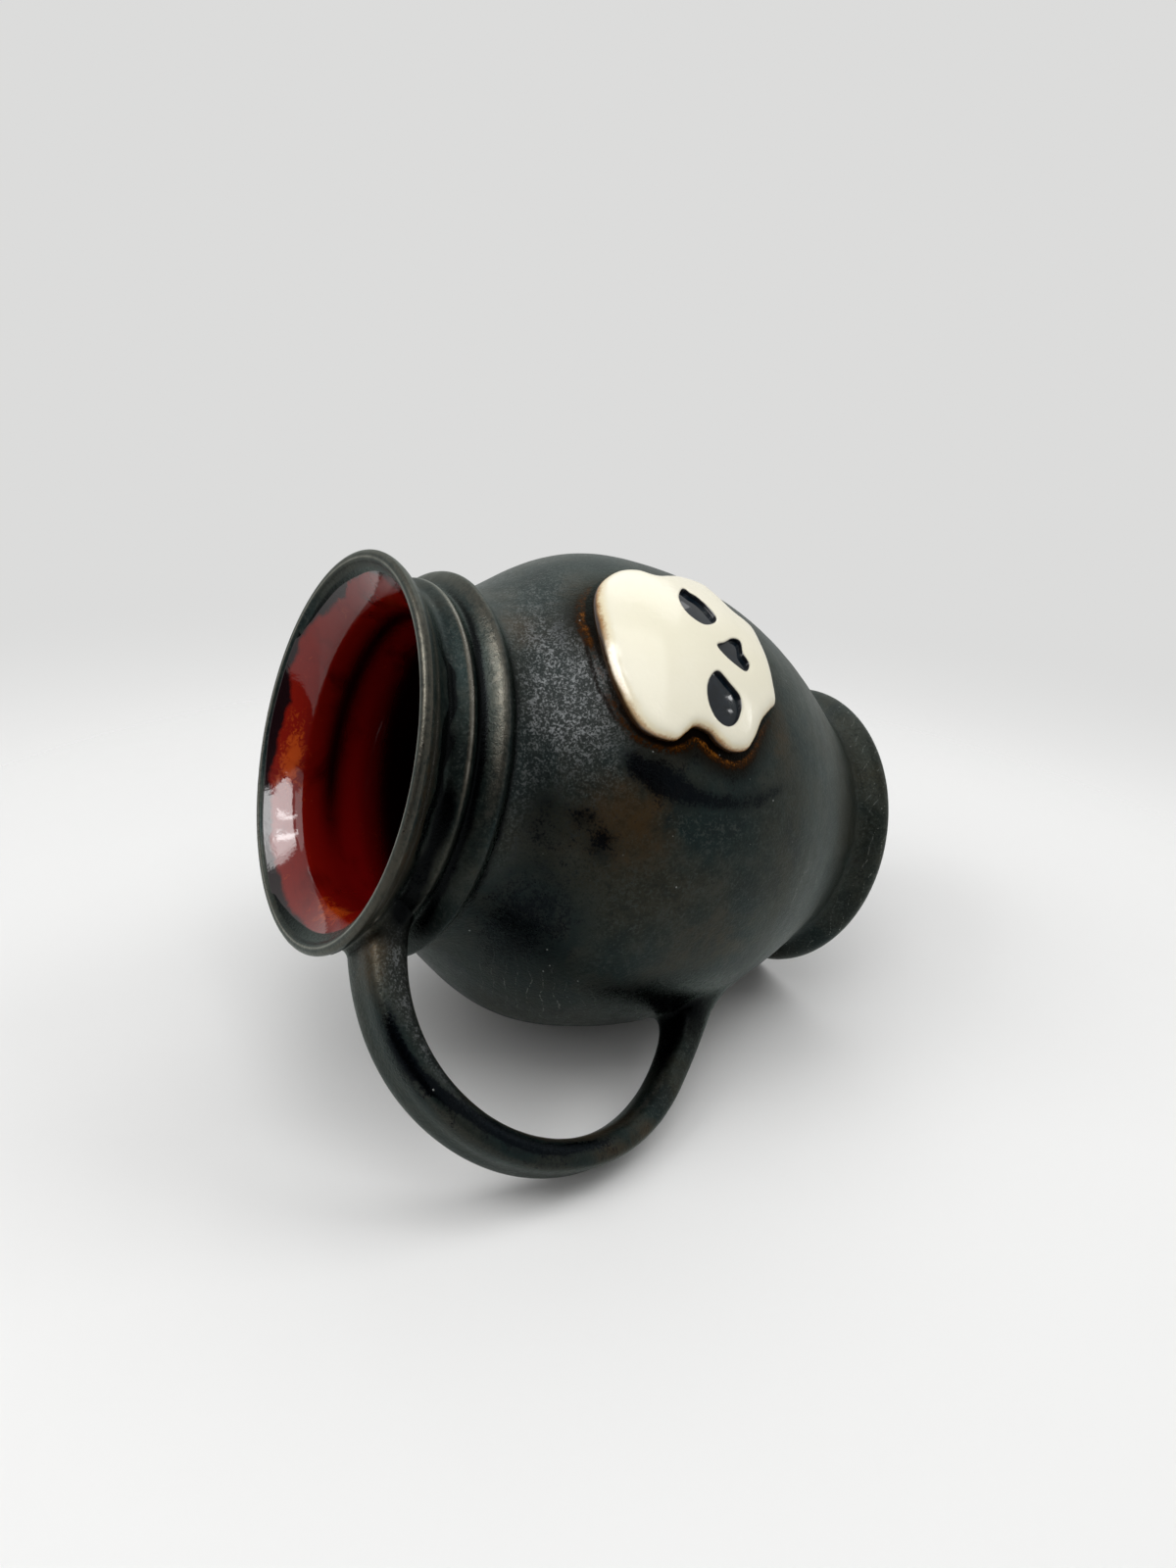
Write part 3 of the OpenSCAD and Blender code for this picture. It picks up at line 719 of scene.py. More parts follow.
def soft(x, at, reach):
    """1 at a place and fading over a reach."""
    return np.exp(-((x - at) / reach) ** 2)


def rings(x, rows):
    return sum(strength * soft(x, at, reach) for strength, at, reach in rows)


def spots(u, v, rows):
    return sum(strength * np.exp(-((u - at_u) / reach_u) ** 2 - ((v - at_v) / reach_v) ** 2)
               for strength, at_u, at_v, reach_u, reach_v in rows)


# Rings of wear, pooled or scuffed glaze, and pale lines of painted highlight: strength, height and reach in
# millimetres, or radius for the rim
# Painted highlight: the ridge ring at 109, the lip ring at 116.4, the outer rim ring at 38.1 and both
# throwing rings are pale lines that stand for highlights; the other rings are wear.
CREST_RINGS = [(0.9, 104.2, 1.5), (1.5, 109, 0.6), (0.5, 113.6, 2.2)]
EDGE_RINGS = [(0.4, LIP_Z - 1.2, 1.4), (1.0, 116.4, 0.55), (0.5, 1.5, 1.6)]
THROWING_RING_HIGHLIGHTS = [(0.45, 44.2, 0.5), (0.3, 37.5, 0.6)]
RIM_RINGS = [(1.5, 36.9, 0.3), (0.95, 38.1, 0.7)]
POOLED_RINGS = [(1.0, 106.7, 1.2), (0.35, 111.2, 1.2), (0.85, 101.0, 2.0), (0.3, 8, 3)]
NECK_RUN = [(1.9, 113.2, 0.7)]
FOOT_SCUFF = [(0.6, 2.5, 3)]
# Spots: strength, place and reach in millimetres, round from the middle of the skull and up the mug
NECK_BLOTS = [(1.0, -26, 113.2, 4.5, 1.6), (0.8, -44, 111, 7, 2.2)]
# Painted shade: the spots at -77, -80, -72 and -70 darken the side of the belly by the lower join, which
# faces the floor; the rest is glaze pooled at the joins.
JOIN_POOLS_AND_SHADE = [(1.0, -85, 108, 13, 6), (1.2, -85, 43, 12, 11), (0.7, -66, 112, 16, 3),
              (0.55, -77, 54, 9, 10), (0.4, -80, 66, 9, 10), (0.45, -72, 61, 9, 14), (0.45, -70, 50, 8, 9)]
# Silvery crystalline speckle with painted sheen: the spots round the shoulder above the skull lay a lighter
# speckled colour where the overhead lamp's highlight falls.
SILVER_AND_SHEEN_SPOTS = [(0.95, -10, 92, 16, 7.5), (0.6, -13, 94.5, 7, 3), (0.6, -10, 88.5, 8, 3.5),
                (0.4, -20, 88, 8, 5), (0.4, 12, 92, 22, 7), (0.35, 4, 90.5, 9, 4), (0.3, -34, 98, 20, 3),
                (0.4, 60, 88, 26, 10), (0.5, 128, 90, 24, 9), (0.45, -120, 93, 22, 7),
                (0.3, 95, 30, 20, 12)]
RUST_SPOTS = [(0.8, -45, 116.5, 32, 2.6), (0.85, -36, 81, 12, 10), (0.7, 12, 96, 14, 5),
              (0.5, -60, 55, 16, 16), (0.35, 70, 70, 30, 22), (0.8, 105, 84, 18, 10),
              (0.8, -128, 72, 16, 14), (0.6, 140, 50, 18, 12), (0.7, -14, 49.5, 9, 4.5),
              (0.5, 19, 85, 8, 5)]
# Painted shade: the spots at -75 and -95 darken the side of the belly by the handle, which faces the floor;
# the rest is blue-black in the glaze.
INK_SPOTS_AND_SHADE = [(0.85, -42, 84.3, 3, 2.4), (0.7, -37.7, 87.7, 2.4, 2.2), (1.0, -67, 90, 17, 8),
             (0.45, -40, 94, 9, 4), (0.6, -75, 62, 7, 10), (0.55, -95, 70, 13, 24), (0.8, 84, 76, 4, 12),
             (0.8, 118, 64, 3.5, 2.8), (0.8, -112, 60, 5, 12), (0.8, 146, 80, 12, 4)]
SCUFFS = [(1.0, -87, 78, 9, 9), (0.5, -48, 30, 8, 10), (0.6, 60, 60, 12, 8), (0.6, -140, 58, 14, 8)]
# How burnt the glaze is all round the skull, and spots of it, placed both ways from the skull's middle
BURN_BASE = 0.14
BURN_SPOTS = [(0.9, 10, 18, 9, 5), (0.1, -9, 19, 9, 4), (0.5, -20, 11, 5, 5), (0.25, -14, 16, 5, 4),
              (1.0, -19, 3, 6, 5), (1.0, -22, -5, 6, 6), (0.6, -15, -13, 6, 5), (0.35, 20, 8, 6, 10),
              (0.5, 14, -16, 9, 5)]
# Spots of thin red inside the mouth: degrees round it and height
THIN_RED = [(1.0, 66, 114.6, 14, 2.2), (0.9, 152, 113.0, 16, 2.6), (0.6, 245, 114, 20, 2),
            (0.6, 320, 111, 18, 3)]
# Rings and spots on the strap: share of its path, and degrees round its section
STRAP_ENDS = [(1.0, -0.02, 0.04), (1.2, 1.02, 0.12)]
# The strap's silvery streaks are partly painted highlight.
STRAP_SILVER_AND_SHEEN = [(0.7, 0.06, -8, 0.08, 30), (0.75, 0.2, -24, 0.1, 18), (0.35, 0.0, 90, 0.05, 40)]
STRAP_RUST = [(1.2, 0.45, -58, 0.3, 24), (0.8, 0.02, 60, 0.07, 60), (0.5, 0.7, 20, 0.15, 40)]
# How thick the skin is that counts as the outside, and a gap that stands for nowhere near the skull
SKIN, NOWHERE = 1.2, 99.0


def burn_at(u, v):
    """How strongly the glaze has burnt at the skull's edge, by place."""
    return BURN_BASE + spots(u, v, BURN_SPOTS)


def glaze_fields(points):
    """How the black glaze wears, pools, turns silvery, rusts, turns blue-black and burns, and where painted
    highlight, sheen and shade lie on it, from a point's place.
    """
    x, y, z = points.T
    r = np.hypot(x, y)
    u = ((np.arctan2(y, x) - SKULL_TURN + np.pi) % (2 * np.pi) - np.pi) * BELLY_R
    v = z - SKULL_Z
    out = r > outer_r(z) - SKIN
    rim = z > LIP_Z + 0.1
    from_handle = 0.45 + 0.55 * smooth_step(u, -52, -24)
    # Crest, edge, throwing and rim rings: wear, and pale lines of painted highlight.
    crest = (rings(z, CREST_RINGS) * from_handle + rings(z, EDGE_RINGS)
             + rings(z, THROWING_RING_HIGHLIGHTS) * (0.5 + 0.5 * np.sin(u / 14)))
    swing = 1.3 * np.sin(u / 9.0) + 0.9 * np.sin(u / 4.1 + 1) + 0.5 * np.sin(u / 1.7 + 2)
    run = rings(z - 0.55 * swing, NECK_RUN) * smooth_step(u, -62, -40) * smooth_step(-u, -22, -8)
    run = run + spots(u, z, NECK_BLOTS)
    worn_and_highlit = np.where(out, crest * (1 - 0.8 * np.clip(run, 0, 1)), 0)
    worn_and_highlit = worn_and_highlit + rings(r, RIM_RINGS) * (z > LIP_Z - 0.1)
    # Glaze pooled in hollows and at the joins, with painted shade on the belly's floor side by the lower
    # join.
    hollow = rings(z, POOLED_RINGS) + run + spots(u, z, JOIN_POOLS_AND_SHADE)
    pooled = np.where(out, hollow, np.where(rim, 0.2, 1.0))
    # Silvery speckle with painted sheen.
    silver_and_sheen = np.where(out, spots(u, z, SILVER_AND_SHEEN_SPOTS), 0)
    rust = np.where(out, spots(u, z, RUST_SPOTS), 0)
    off = (u - np.interp(z, RUN_Z, RUN_U)) / np.interp(z, RUN_Z, RUN_REACH)
    band = np.interp(z, RUN_Z, RUN_DEPTH) * np.exp(-off ** 2)
    near = out & (np.abs(u) < 40) & (np.abs(v) < 34)
    gap = np.full(len(points), NOWHERE)
    gap[near] = -distance_to(SKULL, np.c_[u, v][near])
    burn = np.where(near, burn_at(u, v), 0)
    lined = np.where(near, smooth_step(u, -19, -14) * smooth_step(-u, -5, 0) * smooth_step(v, 4, 9), 0)
    # Blue-black runs and patches, with painted shade on the belly's floor side by the handle.
    ink_and_shade = np.where(out, band + spots(u, z, INK_SPOTS_AND_SHADE), 0)
    ink_and_shade = ink_and_shade + 0.6 * np.clip(burn, 0, 1) * soft(gap, 5.0, 2.2)
    scuffed = np.where(out, spots(u, z, SCUFFS) + rings(z, FOOT_SCUFF), 0)
    return dict(worn_and_highlit=worn_and_highlit, pooled=pooled, silver_and_sheen=silver_and_sheen, rust=rust, ink_and_shade=ink_and_shade, gap=np.minimum(gap, 12),
                burn=burn, lined=lined, scuffed=scuffed)


# Pieces

def thrown_body():
    """The pot, thrown from its profile."""
    def wall(radius, start, end, count):
        z = np.linspace(start, end, count, endpoint=False)
        return np.c_[radius(z), z]

    corner = np.linspace(0, np.pi / 2, 8, endpoint=False)
    crest = np.linspace(0, np.pi, 20, endpoint=False)
    crest_low = np.where(crest < np.pi / 2, LIP_Z, MOUTH_TOP)
    foot_z, foot_r = OUTSIDE[0][:2]
    lip_r = OUTSIDE[-1][1]
    profile = np.vstack([
        [(r, 0) for r in (0, 8, 16, 24, 29)],
        np.c_[foot_r - FOOT_ROUND * (1 - np.sin(corner)), foot_z * (1 - np.cos(corner))],
        wall(outer_r, foot_z, COLLAR_Z, 154), wall(outer_r, COLLAR_Z, LIP_Z, 70),
        np.c_[lip_r - CREST_T / 2 * (1 - np.cos(crest)),
              crest_low + (LIP_Z + RIM_RISE - crest_low) * np.sin(crest)],
        wall(mouth_r, MOUTH_TOP, MOUTH_LOW, 14), wall(mouth_r, MOUTH_LOW, COLLAR_Z, 5),
        wall(mouth_r, COLLAR_Z, FLOOR_CORNER_Z, 36),
        floor_corner(7, 0), [(8, FLOOR_Z), (0, FLOOR_Z)]])
    points = np.c_[profile[:, 0], np.zeros(len(profile)), profile[:, 1]]
    seed = bpy.data.meshes.new("profile")
    seed.from_pydata((points * MM).tolist(), [(i, i + 1) for i in range(len(points) - 1)], [])
    mesh = grow(seed, wheel_throwing(), {
        "Turns": TURNS, "Rings": len(points), "Spiral Pitch": 4.6 * MM, "Spiral Depth": 0.04 * MM,
        "Spiral Top": 46 * MM, "Out Of Round": 0.12 * MM, "Lip Lean": LIP_LEAN * MM,
        "Lip Low": MOUTH_LOW * MM, "Lip High": MOUTH_TOP * MM, "Lean Turn": SKULL_TURN, "Seed": 3.0,
        "Glaze": BLACK})
    mark(mesh, **glaze_fields(points_of(mesh)))
    set_out(mesh, "thrown_body", BLACK)


def liner_glaze():
    """The red coat inside: it ends in a thin wavering edge below the lip, over the throwing rings."""
    a = np.linspace(0, 2 * np.pi, TURNS, endpoint=False)
    top = MOUTH_TOP - 0.15 - 0.06 * np.sin(5 * a + 1) - 0.05 * np.sin(11 * a)
    rows = []

    def ring(r, z):
        rows.append(np.c_[r * np.cos(a), r * np.sin(a), np.broadcast_to(z, a.shape)])

    for share in np.linspace(0, 1, 34) ** 1.5:
        z = top + (THROAT_Z - top) * share
        ring(mouth_r(z) - COAT_EDGE - (COAT_T - COAT_EDGE) * smooth_step(top - z, 0, 7), z)
    for z in np.linspace(THROAT_Z, FLOOR_CORNER_Z, 90)[1:]:
        ripple = 0.35 * (0.5 + 0.5 * np.sin(2 * np.pi * z / 9.5 + a))
        ring(inner_r(z) - COAT_T - ripple * smooth_step(z, 15, 24) * smooth_step(-z, -98, -90), z)
    over, under = FLOOR_Z + COAT_T, FLOOR_Z + COAT_GAP
    for r, z in floor_corner(12, COAT_T)[1:].tolist() + [[10, over], [4, over]]:
        ring(r, z)
    seen = len(rows)
    for r, z in [[4, under], [10, under]] + floor_corner(6, COAT_GAP)[::-1].tolist():
        ring(r, z)
    for z in np.linspace(FLOOR_CORNER_Z, THROAT_Z, 40)[1:]:
        ring(inner_r(z) - COAT_GAP, z)
    for share in np.linspace(0.1, 1, 12):
        z = THROAT_Z + (top - THROAT_Z) * share
        ring(mouth_r(z) - COAT_GAP, z)
    count = len(rows)
    points = np.vstack(rows + [[[0, 0, over], [0, 0, under]]])
    faces = [f for i, f in enumerate(ring_faces(count, TURNS)) if i // TURNS != seen - 1]
    faces += band_faces((count - 1) * TURNS, 0, TURNS)
    faces += fan_faces((seen - 1) * TURNS, count * TURNS, TURNS, False)
    faces += fan_faces(seen * TURNS, count * TURNS + 1, TURNS, True)
    turn = np.degrees(np.arctan2(points[:, 1], points[:, 0])) % 360
    side = 0.5 + 0.5 * np.cos(np.radians(turn) - SKULL_TURN)
    lean = LIP_LEAN * side * smooth_step(points[:, 2], MOUTH_LOW, MOUTH_TOP)
    mesh = make_mesh("liner_glaze", points + np.outer(lean, (0, 0, 1)), faces)
    band = np.interp(turn, BAND_AT, BAND_DEPTH)
    band = band + 0.2 * np.sin(np.radians(turn) * 13 + 1) + 0.12 * np.sin(np.radians(turn) * 29)
    z = points[:, 2]
    far = np.abs((turn + 150) % 360 - 180)
    # Painted shade: a dark ring round the throat, strongest round thirty degrees, and darkness below the
    # throat, half as strong near the floor.
    shade = soft(z, 106, 3.7 / math.sqrt(2)) * (0.2 + 0.8 * smooth_step(-far, -85, -40))
    shade = shade + smooth_step(97 - 0.07 * far - z, -2, 5) * (0.5 + 0.5 * smooth_step(z, 32, 58))
    mark(mesh, below_band=COAT_TOP - z - band, depth=COAT_TOP - z, thin=spots(turn, z, THIN_RED), shade=shade)
    set_out(mesh, "liner_glaze", RED)


def strap_fields(points):
    """How the black glaze lies on the strap: with wear at its edges, dark in the thumb groove and at its
    ends, with painted sheen in its silvery streaks and painted shade on its inner side towards the lower end.
    """
    s = np.linspace(0, 1, 400)
    at, way = bezier(s)
    path = np.c_[-at[:, 0], at[:, 1]]
    flat = points[:, [0, 2]]
    near = np.array([np.argmin(((path - q) ** 2).sum(1)) for q in flat])
    k = s[near]
    step = flat - path[near]
    over = step[:, 0] * way[near, 1] + step[:, 1] * way[near, 0]
    across = 2 * points[:, 1] / (STRAP_W[0] + (STRAP_W[1] - STRAP_W[0]) * k)
    over = 2 * over / (STRAP_T[0] + (STRAP_T[1] - STRAP_T[0]) * k)
    turn = np.degrees(np.arctan2(over, -across))
    zero = np.zeros(len(points))
    line = soft(turn - 34 + 48 * smooth_step(k, 0.1, 0.5) + 6 * np.sin(23 * k), 0, 13)
    line = line * smooth_step(k, 0.08, 0.2) * smooth_step(-k, -0.75, -0.5)
    ends = rings(k, STRAP_ENDS)
    inside = smooth_step(-turn, 20, 70) * smooth_step(turn, -160, -110)
    dark = 0.42 * soft(k, 0.45, 0.25) * (1 - inside) + 1.8 * line
    return dict(
        worn_and_highlit=0.6 * soft(np.abs(np.abs(turn) - 90), 48, 16) * (1 - np.minimum(ends, 1)),
        # Painted shade on the inner side, which faces the belly, towards the lower end.
        pooled=0.8 * ends + 0.5 * inside * smooth_step(k, 0.5, 0.8),
        silver_and_sheen=spots(k, turn, STRAP_SILVER_AND_SHEEN) + spots(k, np.abs(turn), [(0.5, 0.1, 180, 0.1, 40)]),
        rust=spots(k, turn, STRAP_RUST) + spots(k, np.abs(turn), [(0.5, 0.5, 150, 0.3, 40)]),
        ink_and_shade=dark + spots(k, turn, [(0.8, 0.17, 62, 0.08, 20)]),
        gap=zero + 12, burn=zero, lined=zero, scuffed=spots(k, turn, [(0.4, 0.85, 60, 0.1, 50)]))


def pulled_handle():
    """The strap, drawn out along its path."""
    seed = bpy.data.meshes.new("clay")
    seed.from_pydata([(0, 0, 0)], [], [])
    start, start_pull, end_pull, end = ((r * MM, 0.0, z * MM) for r, z in STRAP_PATH)
    mesh = grow(seed, strap_pulling(), {
        "Stations": 200, "Sides": 72, "Start": start, "Start Pull": start_pull, "End Pull": end_pull,
        "End": end, "From": -0.045, "To": 1.016, "Start Width": STRAP_W[0] * MM, "End Width": STRAP_W[1] * MM,
        "Start Thickness": STRAP_T[0] * MM, "End Thickness": STRAP_T[1] * MM,
        "Start Flare": STRAP_FLARE[0] * MM, "End Flare": STRAP_FLARE[1] * MM, "Flare Share": FLARE_SHARE,
        "Groove": THUMB_GROOVE * MM, "Squareness": STRAP_SQUARENESS, "Waver": 0.25 * MM, "Seed": 5.0,
        "Glaze": BLACK})
    mark(mesh, **strap_fields(points_of(mesh)))
    set_out(mesh, "pulled_handle", BLACK)


def seat_of(a, free, buried, seat_r):
    """Where along the path each line of the strap's skin meets a round of a given radius."""
    out, into = np.full(a.shape, free), np.full(a.shape, buried)
    for _ in range(40):
        middle = (out + into) / 2
        p = strap_point(middle, a)
        clear = np.hypot(p[:, 0], p[:, 1]) > seat_r(p[:, 2])
        out, into = np.where(clear, middle, out), np.where(clear, into, middle)
    return (out + into) / 2


def join_clay(node, free, buried, seat_r, rise, reach):
    """Clay drawn from the strap on to the body in a hollow curve, its edges tucked into both."""
    sides = 144
    a = np.linspace(0, 2 * np.pi, sides, endpoint=False)
    seat = seat_of(a, free, buried, seat_r)
    up = seat - np.sign(buried - free) * rise(a)
    top, knee = strap_point(up, a, 0.993), strap_point(seat, a)
    spread = (knee - knee.mean(0)) * (0, 1, 1)
    spread = spread / np.linalg.norm(spread, axis=1, keepdims=True)
    out = knee + spread * reach(a)[:, None]
    out[:, 2] = np.clip(out[:, 2], 3, LIP_Z - 0.6)

    def sunk(points, depth):
        r = outer_r(points[:, 2]) - depth
        return np.c_[-np.sqrt(np.maximum(r ** 2 - points[:, 1] ** 2, 1)), points[:, 1:]]

    out = sunk(out, 0.12)
    t = np.linspace(0, 1, 24) ** 1.25
    rows = [(1 - k) ** 2 * top + 2 * k * (1 - k) * knee + k * k * out for k in t]
    under = [sunk(out, 0.6), sunk(knee, 0.8), strap_point(up, a, 0.85)]
    points = np.vstack(rows + under)
    count = len(rows) + len(under)
    faces = ring_faces(count, sides) + band_faces((count - 1) * sides, 0, sides)
    mesh = make_mesh(node, points, faces)
    along = np.concatenate([t, [1, 0.5, 0]]).repeat(sides)
    share = smooth_step(along, 0.1, 1)
    on_strap, on_body = strap_fields(points), glaze_fields(sunk(points, 0))
    mark(mesh, **{name: (1 - share) * on_strap[name] + share * on_body[name] for name in on_body})
    set_out(mesh, node, BLACK)


def skull_height(edge, hole):
    """Height of the relief: a pillowed edge, and rims that roll into the sockets."""
    rise = np.sqrt(1 - (1 - np.clip(edge / 2.4, 0, 1)) ** 2)
    roll = 0.28 * (1 - np.sqrt(1 - (1 - np.clip(hole / 0.45, 0, 1)) ** 2))
    dish = 0.05 * np.exp(-(np.maximum(hole, 0) / 1.6) ** 2)
    return 0.35 + (SKULL_T - 0.37) * rise - (roll + dish) * rise


def skull_sprig():
    """The relief: its outline filled with triangles round the sockets, laid on the belly."""
    outline = evenly(SKULL, OUTLINE_PITCH)
    holes = [evenly(hole, SOCKET_PITCH) for hole in HOLES.values()]

    def on_clay(curve, points, inset, clear):
        """Which points lie so far inside a curve and so far clear of the sockets."""
        free = np.all([distance_to(hole, points) < -clear for hole in holes], axis=0)
        return (distance_to(curve, points) > inset) & free

    def fringe(loop, offsets, inward):
        ahead = np.roll(loop, -1, 0) - np.roll(loop, 1, 0)
        side = np.c_[-ahead[:, 1], ahead[:, 0]] / np.linalg.norm(ahead, axis=1, keepdims=True)
        if (distance_to(loop, loop + side * 0.02) > 0).mean() < 0.5:
            side = -side
        if not inward:
            side = -side
        found = []
        for offset in offsets:
            row = (loop + side * offset)[::1 if offset < 0.5 else 2]
            found.append(row[np.abs(distance_to(loop, row)) > offset * 0.93])
        return np.vstack(found)

    loops = [outline] + holes
    loose = [fringe(outline, (0.07, 0.18, 0.34, 0.56, 0.85, 1.2, 1.65, 2.2, 2.9), True)]
    loose += [fringe(hole, (0.07, 0.17, 0.32, 0.52, 0.78, 1.1, 1.5), False) for hole in holes]
    u, v = np.meshgrid(np.arange(-21, 21, CLAY_PITCH), np.arange(-18, 18, CLAY_PITCH))
    grid = np.c_[(u + CLAY_PITCH / 2 * (np.arange(len(u)) % 2)[:, None]).ravel(), v.ravel()]
    loose.append(grid[on_clay(SKULL, grid, 3.2, 1.7)])
    loose = np.vstack(loose)
    flat = np.vstack(loops + [loose[on_clay(SKULL, loose, 0.05, 0.05)]])
    fixed, at = [], 0
    for loop in loops:
        k = np.arange(len(loop))
        fixed += np.c_[at + k, at + (k + 1) % len(loop)].tolist()
        at += len(loop)
    filled = delaunay_2d_cdt([Vector(p) for p in flat], fixed, [], 0, 1e-6, False)
    flat = np.array([tuple(p) for p in filled[0]])
    triangles = np.array(filled[2])
    triangles = triangles[on_clay(outline, flat[triangles].mean(1), 0, 0)]
    edge = np.maximum(distance_to(outline, flat), 0)
    hole = np.maximum(np.min([-distance_to(h, flat) for h in holes], axis=0), 0)
    over = on_belly(flat[:, 0], flat[:, 1], skull_height(edge, hole))
    under = on_belly(flat[:, 0], flat[:, 1], -SPRIG_SUNK)
    count = len(flat)
    faces = triangles.tolist() + (triangles[:, ::-1] + count).tolist()
    sides = dict.fromkeys(side for i, j, k in triangles.tolist() for side in ((i, j), (j, k), (k, i)))
    faces += [[j, i, i + count, j + count] for i, j in sides if (j, i) not in sides]
    mesh = make_mesh("skull_sprig", np.vstack([over, under]), faces)
    burn = burn_at(flat[:, 0], flat[:, 1])
    mark(mesh, edge=np.r_[edge, edge * 0], hole=np.r_[hole, hole], burn=np.r_[burn, burn])
    set_out(mesh, "skull_sprig", CREAM)


def socket_pool(node):
    """Glaze pooled in a socket, creeping up its wall."""
    loop = evenly(HOLES[node], POOL_PITCH)
    middle = np.array(SOCKETS[node][0])
    count = len(loop)
    shares = (1.03, 1.0, 0.97, 0.93, 0.88, 0.82, 0.74, 0.64, 0.52, 0.38, 0.22, 0.08)
    creep = (1.0, 0.8, 0.58, 0.38, 0.22, 0.12, 0.06, 0.03, 0.01, 0, 0, 0)

    def row(share, height):
        p = middle + (loop - middle) * share
        return on_belly(p[:, 0], p[:, 1], height)

    rows = [row(shares[0], -POOL_SUNK)]
    rows += [row(share, POOL_H + 0.12 * up) for share, up in zip(shares, creep)]
    tips = [on_belly(middle[:1], middle[1:], height) for height in (POOL_H, -POOL_SUNK)]
    points = np.vstack(rows + tips)
    faces = ring_faces(len(rows), count)
    faces += fan_faces((len(rows) - 1) * count, len(rows) * count, count, False)
    faces += fan_faces(0, len(rows) * count + 1, count, True)
    set_out(make_mesh(node, points, faces), node, DARK)


thrown_body()
liner_glaze()
pulled_handle()
join_clay("upper_join_clay", 0.14, -0.04, lambda z: NECK_SEAT_R + 0 * z,
          lambda a: 0.02 + 0.03 * (1 + np.cos(a)) / 2, lambda a: 1.0 + 3.0 * (1 + np.cos(a)) / 2)
join_clay("lower_join_clay", 0.86, 1.02, outer_r,
          lambda a: 0.05 + 0 * a, lambda a: 3.2 + 7.5 * ((1 + np.cos(a)) / 2) ** 3)
skull_sprig()
for socket in SOCKETS:
    socket_pool(socket)


# Floor, light and camera

# The way up from the floor that the mug lies on, and the camera: its axes, place and focal length in pixels
UP = Vector((0.637, -0.700, 0.323)).normalized()
EYE_AXES = ((-0.13788, -0.56724, -0.81193), (0.90195, -0.41064, 0.13371), (-0.40926, -0.71388, 0.56823))
EYE_AT = Vector((-104.62, -185.91, 207.08)) * MM
EYE_RIGHT = Vector(EYE_AXES[0])
RIGHT = (EYE_RIGHT - UP * EYE_RIGHT.dot(UP)).normalized()
AWAY = UP.cross(RIGHT)
MIDDLE = Vector((-0.01, 0, 0.06))
FOCAL_PIXELS, PICTURE_HEIGHT, SENSOR = 1222.27, 1600, 36.0


def stand(right, away, up):
    """A place in the room: steps from the middle of the mug along the floor and up from it."""
    return MIDDLE + RIGHT * right + AWAY * away + UP * up


def pale_floor():
    """A round of pale paper that takes the shadow and fades into the room."""
    lowest = min(Vector(v.co).dot(UP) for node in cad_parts.values() for v in node.data.vertices)
    ground = MIDDLE - UP * (MIDDLE.dot(UP) - lowest)
    sides, reach = 96, 0.26
    spokes = [(math.cos(math.tau * k / sides), math.sin(math.tau * k / sides)) for k in range(sides)]
    corners = [ground + (RIGHT * x + AWAY * y) * reach for x, y in spokes]
    mesh = bpy.data.meshes.new("pale_floor")
    mesh.from_pydata([tuple(c) for c in [ground] + corners], [],
                     [(0, k + 1, (k + 1) % sides + 1) for k in range(sides)])
    mark(mesh, outward=[0.0] + [1.0] * sides)
    floor = put("pale_floor", mesh)
    paper = Glaze("pale_paper")
    tone = paper.mix(paper.noise(paper.place, 0.02, 3.0), (0.85, 0.85, 0.845), (0.87, 0.87, 0.865))
    mesh.materials.append(paper.fire(tone, 0.75, 0.2))
    back = paper.flow(paper.add("ShaderNodeNewGeometry"), "Backfacing")
    seen = paper.step(paper.field("outward"), 0.5, 1.0, 1.0, 0.0) * (1.0 - back)
    clear = paper.add("ShaderNodeBsdfTransparent")
    both = paper.add("ShaderNodeMixShader", {0: seen, 1: clear.outputs[0], 2: paper.shader.outputs[0]})
    paper.feed(paper.tree.nodes["Material Output"].inputs["Surface"], both.outputs[0])


def soft_light(name, at, size, watts, lights=True, mirrored=True):
    """A soft lamp that faces the mug, and may only light it or only be mirrored in it."""
    lamp = bpy.data.lights.new(name, "AREA")
    lamp.shape = "RECTANGLE"
    lamp.size, lamp.size_y = size
    lamp.energy = watts
    holder = put(name, lamp)
    holder.location = at
    holder.visible_diffuse, holder.visible_glossy = lights, mirrored
    holder.rotation_mode = "QUATERNION"
    back = (at - MIDDLE).normalized()
    across = (RIGHT - back * RIGHT.dot(back)).normalized()
    holder.rotation_quaternion = Matrix((across, back.cross(across), back)).transposed().to_quaternion()


def dark_card():
    """A dark card that stands round the front left, off the picture, for the glaze to mirror."""
    steps, radius, tall, slope = 16, 0.55, 0.5, 0.18
    start, end = math.radians(-30), math.radians(70)
    rows = []
    for k in range(steps + 1):
        turn = start + (end - start) * k / steps
        high = tall - slope * max(0.0, turn) / end
        for up in (0.0, high):
            rows.append(tuple(stand(-radius * math.sin(turn), -radius * math.cos(turn), up)))
    mesh = bpy.data.meshes.new("dark_card")
    mesh.from_pydata(rows, [], [(2 * k, 2 * k + 1, 2 * k + 3, 2 * k + 2) for k in range(steps)])
    card = put("dark_card", mesh)
    felt = Glaze("dark_felt")
    tone = felt.mix(felt.noise(felt.place, 0.05, 3.0), (0.012, 0.012, 0.013), (0.02, 0.02, 0.021))
    mesh.materials.append(felt.fire(tone, 0.9, 0.5))
    card.visible_camera = card.visible_shadow = card.visible_diffuse = False


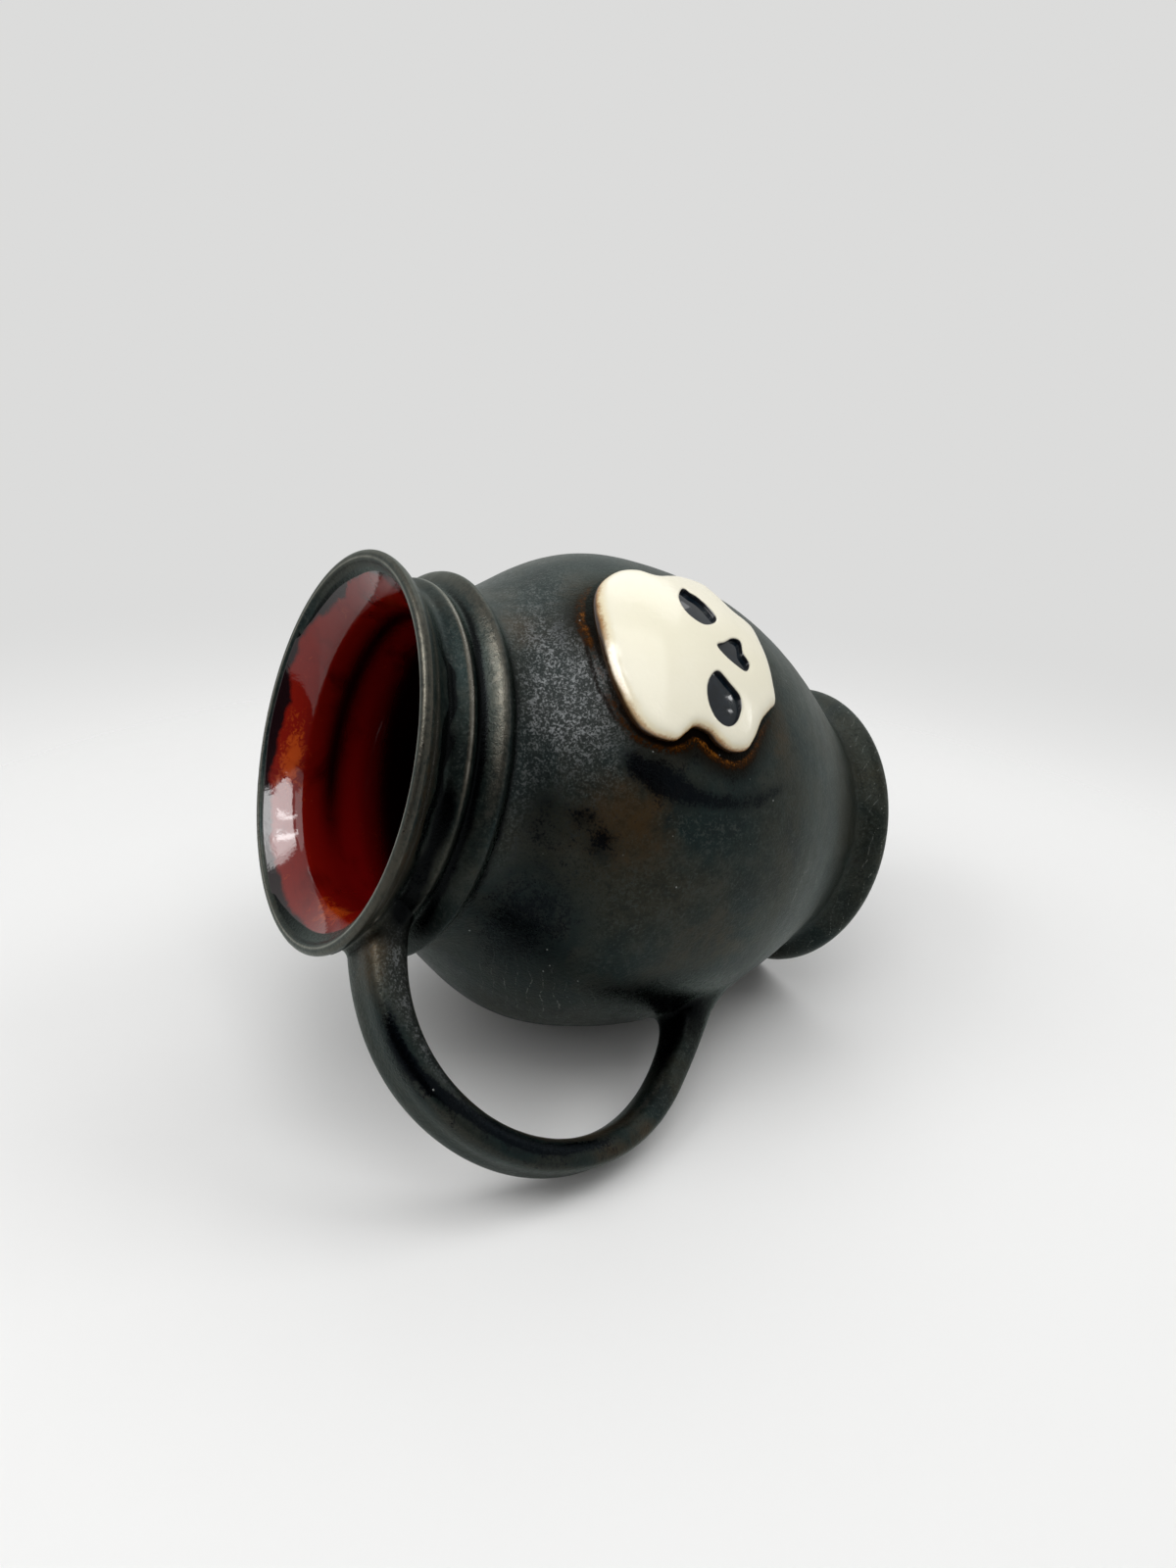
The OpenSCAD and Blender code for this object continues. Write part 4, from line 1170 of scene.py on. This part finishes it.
def pale_room():
    """A pale room: white below, where the floor goes on, and light grey above."""
    world = bpy.data.worlds.new("pale_room")
    world.use_nodes = True
    scene.world = world
    bench = Bench(world.node_tree)
    ground = world.node_tree.nodes["Background"]
    ray = bench.add("ShaderNodeLightPath")
    seen = bench.clamp(bench.flow(ray, "Is Camera Ray") + bench.flow(ray, "Is Glossy Ray")
                       + bench.flow(ray, "Is Transmission Ray"))
    way = bench.add("ShaderNodeTexCoord").outputs["Generated"]
    height = bench.flow(bench.add("ShaderNodeVectorMath", {0: way, 1: UP}, operation="DOT_PRODUCT"), "Value")
    unseen, below, above = 0.34, 0.87, 0.715
    shown = bench.step(height, -0.42, -0.28, below, above)
    bench.feed(ground.inputs["Color"], (1.0, 1.0, 0.992))
    bench.feed(ground.inputs["Strength"], unseen + (shown - unseen) * seen)


def eye():
    """The camera, at the photograph's viewing angle."""
    lens = bpy.data.cameras.new("eye")
    lens.sensor_fit = "AUTO"
    lens.sensor_width = SENSOR
    lens.lens = SENSOR * FOCAL_PIXELS / PICTURE_HEIGHT
    lens.clip_start, lens.clip_end = 0.01, 20
    holder = put("eye", lens)
    holder.matrix_world = Matrix.Translation(EYE_AT) @ Matrix(EYE_AXES).transposed().to_4x4()
    scene.camera = holder


pale_floor()
pale_room()
dark_card()
soft_light("overhead", stand(0.02, -0.14, 0.63), (0.5, 0.5), 1.22)
soft_light("front_fill", stand(-0.22, -0.42, 0.55), (0.5, 0.5), 0.6, mirrored=False)
soft_light("back_soft", stand(0.1, 0.5, 0.6), (0.6, 0.4), 1.0)
soft_light("left_window", stand(-0.5, -0.18, 0.52), (0.36, 0.4), 1.65)
soft_light("window_glow", stand(-0.5, -0.17, 0.5), (0.42, 0.48), 3.2, lights=False)
soft_light("front_tube", stand(-0.38, -0.2, 0.58), (0.5, 0.03), 0.5, lights=False)
soft_light("back_tube", stand(-0.38, -0.07, 0.58), (0.5, 0.03), 0.5, lights=False)
soft_light("right_fill", stand(0.5, 0.1, 0.55), (0.36, 0.36), 1.3, mirrored=False)
soft_light("right_pane_low", stand(0.661, 0.066, 0.32), (0.12, 0.014), 0.06, lights=False)
soft_light("right_pane_high", stand(0.641, 0.116, 0.345), (0.12, 0.014), 0.06, lights=False)
soft_light("under_fill", stand(0.1, 0.1, -0.6), (0.6, 0.6), 1.3)
eye()

bpy.context.view_layer.update()
